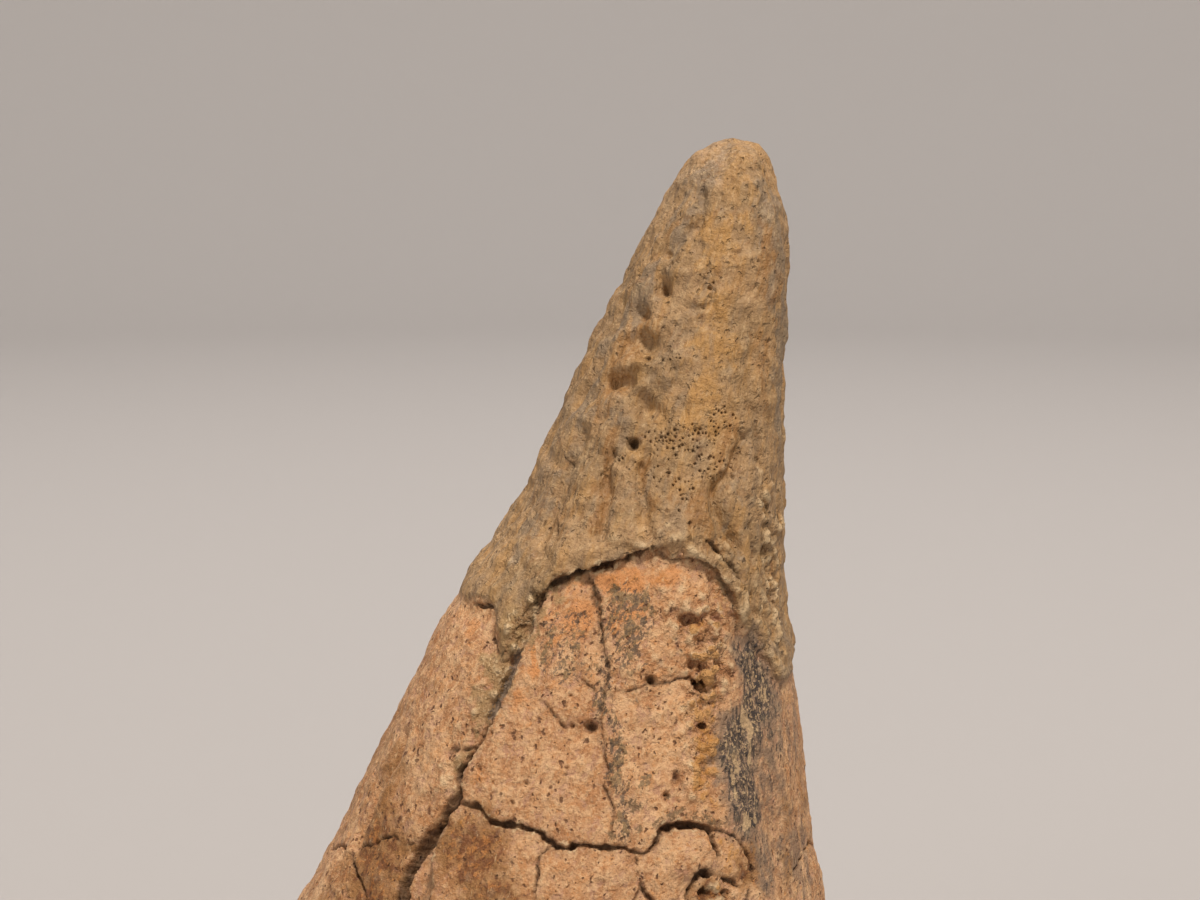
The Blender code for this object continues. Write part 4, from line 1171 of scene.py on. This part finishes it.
# A pattern as one value, which is 1 in the middle of a speck
def patternOf(tree, vector, warped, sort, size, detail, roughness, distortion):
    if sort == "noise":
        return addNode(tree, "ShaderNodeTexNoise", {
            "Vector": vector, "Scale": 1 / size, "Detail": detail, "Roughness": roughness,
            "Distortion": distortion})
    away = addNode(tree, "ShaderNodeTexVoronoi", {"Vector": warped, "Scale": 1 / size})
    if sort == "knobs":
        return away
    tone = addNode(tree, "ShaderNodeSeparateColor", {0: away.node.outputs["Color"]})
    if sort == "tones":
        return addNode(tree, "ShaderNodeMapRange", {
            "Value": tone, 3: boneLook["tones"][0], 4: boneLook["tones"][1]})
    reach = addNode(tree, "ShaderNodeMath", {0: tone, 1: boneLook["speckSize"]}, operation="MULTIPLY")
    share = addNode(tree, "ShaderNodeMath", {0: away, 1: reach}, operation="DIVIDE")
    return addNode(tree, "ShaderNodeMath", {0: 1.0, 1: share}, operation="SUBTRACT", use_clamp=True)


def boneMaterial():
    look = boneLook
    material = bpy.data.materials.new("fossil bone, weathered and broken")
    material.use_nodes = True
    tree = material.node_tree
    tree.nodes.clear()
    names = {name for zone in ("skin", "plate", "over") for layer in look[zone] for name in layer[5:]}
    fieldOf = {name: addNode(tree, "ShaderNodeAttribute", out="Fac", attribute_name=name)
               for name in sorted(names | {"lower", "cavity", "poreShade", "dip", "rough"})}
    place = addNode(tree, "ShaderNodeTexCoord", out="Object")
    plain = addNode(tree, "ShaderNodeVectorMath", {0: place, "Scale": 1 / mm}, operation="SCALE")
    grain = addNode(tree, "ShaderNodeAttribute", out="Vector", attribute_name="grain")
    stray = addNode(tree, "ShaderNodeTexNoise", {
        "Vector": plain, "Scale": look["raggedScale"], "Detail": 2.0}, out="Color")
    stray = addNode(tree, "ShaderNodeVectorMath", {0: stray, "Scale": look["ragged"]}, operation="SCALE")
    # How high the knobs and lumps stand, which the colours use for painted shade in the dips and painted
    # highlights on the crests
    patterns = {"crest": addNode(tree, "ShaderNodeMath", {0: fieldOf["dip"], 1: 0.5}, operation="ADD")}
    for name, (sort, stretch, size, *shape) in look["patterns"].items():
        vector = plain
        if stretch != 1.0:
            vector = addNode(tree, "ShaderNodeVectorMath", {0: grain, 1: (1.0, 1.0, 1 / stretch)},
                             operation="MULTIPLY")
        warped = addNode(tree, "ShaderNodeVectorMath", {0: vector, 1: stray}, operation="ADD")
        patterns[name] = patternOf(tree, vector, warped, sort, size, *shape)

    skin = stain(tree, linear(look["colours"]["tan"]), patterns, fieldOf, look["skin"])
    plate = stain(tree, linear(look["colours"]["peach"]), patterns, fieldOf, look["plate"])
    colour = addNode(tree, "ShaderNodeMix", {0: fieldOf["lower"], 6: skin, 7: plate}, out=2, data_type="RGBA")
    colour = stain(tree, colour, patterns, fieldOf, look["over"])
    # Painted shade: cracks, holes and pores are darkened towards the hollow brown, less on a bare grey wall
    spared = addNode(tree, "ShaderNodeMapRange", {"Value": fieldOf["wall"], 3: 1.0, 4: look["wallDark"]})
    shade = addNode(tree, "ShaderNodeMath", {0: fieldOf["cavity"], 1: spared}, operation="MULTIPLY")
    shade = addNode(tree, "ShaderNodeMath", {
        0: fieldOf["poreShade"], 1: look["poreDark"], 2: shade}, operation="MULTIPLY_ADD", use_clamp=True)
    colour = addNode(tree, "ShaderNodeMix", {
        0: shade, 6: colour, 7: linear(look["colours"]["hollow"])}, out=2, data_type="RGBA")

    height = 0.0
    for pattern, onSkin, onPlate, onRough in look["relief"]:
        amount = addNode(tree, "ShaderNodeMapRange", {"Value": fieldOf["lower"], 3: onSkin, 4: onPlate})
        amount = addNode(tree, "ShaderNodeMath", {0: fieldOf["rough"], 1: onRough, 2: amount},
                         operation="MULTIPLY_ADD")
        height = addNode(tree, "ShaderNodeMath", {0: patterns[pattern], 1: amount, 2: height},
                         operation="MULTIPLY_ADD")
    bump = addNode(tree, "ShaderNodeBump", {"Strength": 1.0, "Distance": mm, "Height": height})
    smooth, coarse = look["crumbSpan"]
    low, high = look["roughness"]
    rough = addNode(tree, "ShaderNodeMapRange", {
        "Value": patterns["crumb"], 1: smooth, 2: coarse, 3: low, 4: high})
    shader = addNode(tree, "ShaderNodeBsdfPrincipled", {
        "Base Color": colour, "Normal": bump, "Roughness": rough,
        "Specular IOR Level": look["specular"], "IOR": look["ior"]})
    addNode(tree, "ShaderNodeOutputMaterial", {"Surface": shader})
    return material


surface = {
    "leastRough": 0.12,   # roughness of the bone where no field says more
    "exact": {"pores", "wall", "bevel", "green"},  # the fields that keep to their outlines
    "overlapBlur": 0.8,   # how sharply the upper bone's look ends at the break line
    "overlapWaver": 0.9,  # how far that edge wavers
    "fullShadeDepth": 3.6,     # the depth of dent or groove that gets the darkest painted shade
    "holeShade": 0.85,    # how dark the painted shade in a hole is against a crack's
    "cavityShade": 0.85,  # how much of the bone's colour both painted shades cover
    "wornDepth": 0.2,     # below this, no edge is worn and painted pale
    "rimTop": 0.6,        # the rim under this height stays as it is, so that it rests on the ground
}


def makeScute():
    spots, faces = loft()
    points = boneAt(spots)
    longest = (lambda middles, normals: np.full(len(middles), mesh["bodyEdge"]))
    spots, points, faces = refine(spots, points, faces, longest, True)
    print("smooth bone:", len(faces), "faces")
    sheets = sheetsOn(points, faces)
    points = points + normalsOf(points, faces) * relief(points, sheets)[:, None]
    sheets = sheetsOn(points, faces)
    spots, points, faces = refine(spots, points, faces, edgeLimit(sheets), False)
    print("refined bone:", len(faces), "faces")
    cut, moved, wornAndLit, crackShade = cutCracks(points, sheets)
    drilled = drillHoles(points, sheets)
    pressed = pressGrooves(points, sheets)
    pressed += pressDents(points, sheets)
    deep = np.maximum(cut, drilled)
    loose = strayed(points, "stains")
    painted = {name: paintField(points if name in surface["exact"] else loose, sheets, field)
               for name, field in fields.items()}
    painted["rough"] = np.maximum(painted["rough"], surface["leastRough"])
    above = points[:, 2] - breakHeight(sheets, points)
    waver = surface["overlapWaver"] * noiseAt(points, 0.9, 3.0)
    lower = smoothStep(0.5 - above / surface["overlapBlur"] + waver)
    rise = weather(points, lower) + moved - deep - pressed
    points = points + normalsOf(points, faces) * rise[:, None]
    outsideShare = spots[:, 2] < stationAt[len(outside)]
    rim = (points[:, 2] < surface["rimTop"]) & (spots[:, 2] > stationAt[len(outside) - 2])
    points[:, 2] = np.maximum(points[:, 2], 0.0)
    print("cracked and painted bone:", len(painted), "fields")
    piece = addMesh("scute_bone", (points * mm).tolist(), faces.tolist())
    # Painted shade in the holes, darker the deeper they go
    holeShade = surface["holeShade"] * smoothStep(drilled)
    painted |= {
        "lower": lower * outsideShare,
        "cavity": np.maximum(crackShade, holeShade) * surface["cavityShade"],
        "wear": wornAndLit * (1 - smoothStep(deep / surface["wornDepth"])),
        "rim": rim.astype(float),
        # painted shade, darker the deeper the dents and grooves are pressed
        "dirt": smoothStep(pressed / surface["fullShadeDepth"]),
    }
    row = rowAt(spots[:, 2])
    middle = np.column_stack([row[:, 1] + row[:, 2], row[:, 3] + row[:, 4]]) / 2
    storeValues(piece.data, "grain", np.column_stack([points[:, :2] - middle, spots[:, 2]]))
    for name, values in painted.items():
        storeValues(piece.data, name, values)
    addBakeMap(piece.data, spots)
    material = boneMaterial()
    applyTree(piece, surfaceTree(material), surfaceDetail)
    print("scute:", len(piece.data.polygons), "faces")
    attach(piece, "root")
    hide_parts("scute")


room = {
    "floorRadius": 0.85,
    "coveRadius": 0.40,
    "wallHeight": 1.5,
    "paper": "#acaaa9",
    "paperRoughness": 0.9,
    "steps": 24,
    "segments": 96,
}


# A plain floor that curves up into a round wall, of uncoated paper: pale and matt, with no glare
def makeRoom():
    profile = [(room["floorRadius"] * k / 6, 0.0) for k in range(1, 7)]
    for k in range(1, room["steps"] + 1):
        a = math.pi / 2 * k / room["steps"]
        profile.append((room["floorRadius"] + room["coveRadius"] * math.sin(a),
                        room["coveRadius"] * (1 - math.cos(a))))
    profile.append((profile[-1][0], room["wallHeight"]))
    n = room["segments"]
    points = [(0.0, 0.0, 0.0)]
    for radius, height in profile:
        points += [(radius * math.cos(math.tau * i / n), radius * math.sin(math.tau * i / n), height)
                   for i in range(n)]
    faces = [(0, 1 + i, 1 + (i + 1) % n) for i in range(n)]
    for row in range(len(profile) - 1):
        a, b = 1 + row * n, 1 + (row + 1) * n
        faces += [(a + i, b + i, b + (i + 1) % n, a + (i + 1) % n) for i in range(n)]
    floor = addMesh("room", points, faces)
    material = bpy.data.materials.new("matt paper")
    material.use_nodes = True
    shader = material.node_tree.nodes["Principled BSDF"]
    shader.inputs["Base Color"].default_value = linear(room["paper"])
    shader.inputs["Roughness"].default_value = room["paperRoughness"]
    floor.data.materials.append(material)
    print("room:", len(floor.data.polygons), "faces")


lights = {
    # name: place, what it is aimed at, size, power in watts, colour
    "key": ((0.28, -0.62, 1.35), (0.008, 0.0, 0.06), 0.26, 20.0, "#fff4e8"),
    "fill": ((-0.75, -0.75, 0.45), (0.008, 0.0, 0.06), 0.70, 2.0, "#fdf6f0"),
    "top": ((0.05, 0.30, 1.40), (0.008, 0.0, 0.06), 0.90, 2.5, "#fdfbff"),
    "backdrop": ((0.0, 0.45, 0.85), (0.0, 0.55, 0.0), 0.50, 3.6, "#fff6f0"),
}
worldLight = {"colour": "#f0ecec", "strength": 0.09}


def aim(obj, place, target):
    obj.location = place
    obj.rotation_mode = "QUATERNION"
    obj.rotation_quaternion = (Vector(target) - Vector(place)).to_track_quat("-Z", "Y")


def makeLights():
    for name, (place, target, size, power, colour) in lights.items():
        data = bpy.data.lights.new(name, "AREA")
        data.shape = "DISK"
        data.size = size
        data.energy = power
        data.color = linear(colour)[:3]
        aim(addObject(name, data), place, target)
    world = bpy.data.worlds.new("room light")
    world.use_nodes = True
    background = world.node_tree.nodes["Background"]
    background.inputs["Color"].default_value = linear(worldLight["colour"])
    background.inputs["Strength"].default_value = worldLight["strength"]
    bpy.context.scene.world = world
    print("lights:", len(lights))


camera = {"frameWidth": 114.0, "sensor": 36.0}  # millimetres across the frame at the sheet


def makeCamera():
    data = bpy.data.cameras.new("camera")
    data.sensor_width = camera["sensor"]
    data.lens = camera["sensor"] * scute["eyeDistance"] / camera["frameWidth"]
    data.clip_start = 0.01
    eye = addObject("camera", data)
    pitch = scute["eyePitch"]
    across, up = scute["sheetMiddle"]
    target = Vector((across, 0.0, up)) * mm
    place = target - Vector((0.0, math.cos(pitch), -math.sin(pitch))) * scute["eyeDistance"] * mm
    aim(eye, place, target)
    bpy.context.scene.camera = eye
    print("camera:", round(data.lens, 1), "mm lens")


makeScute()
makeRoom()
makeLights()
makeCamera()
bpy.context.scene.view_settings.view_transform = "Standard"
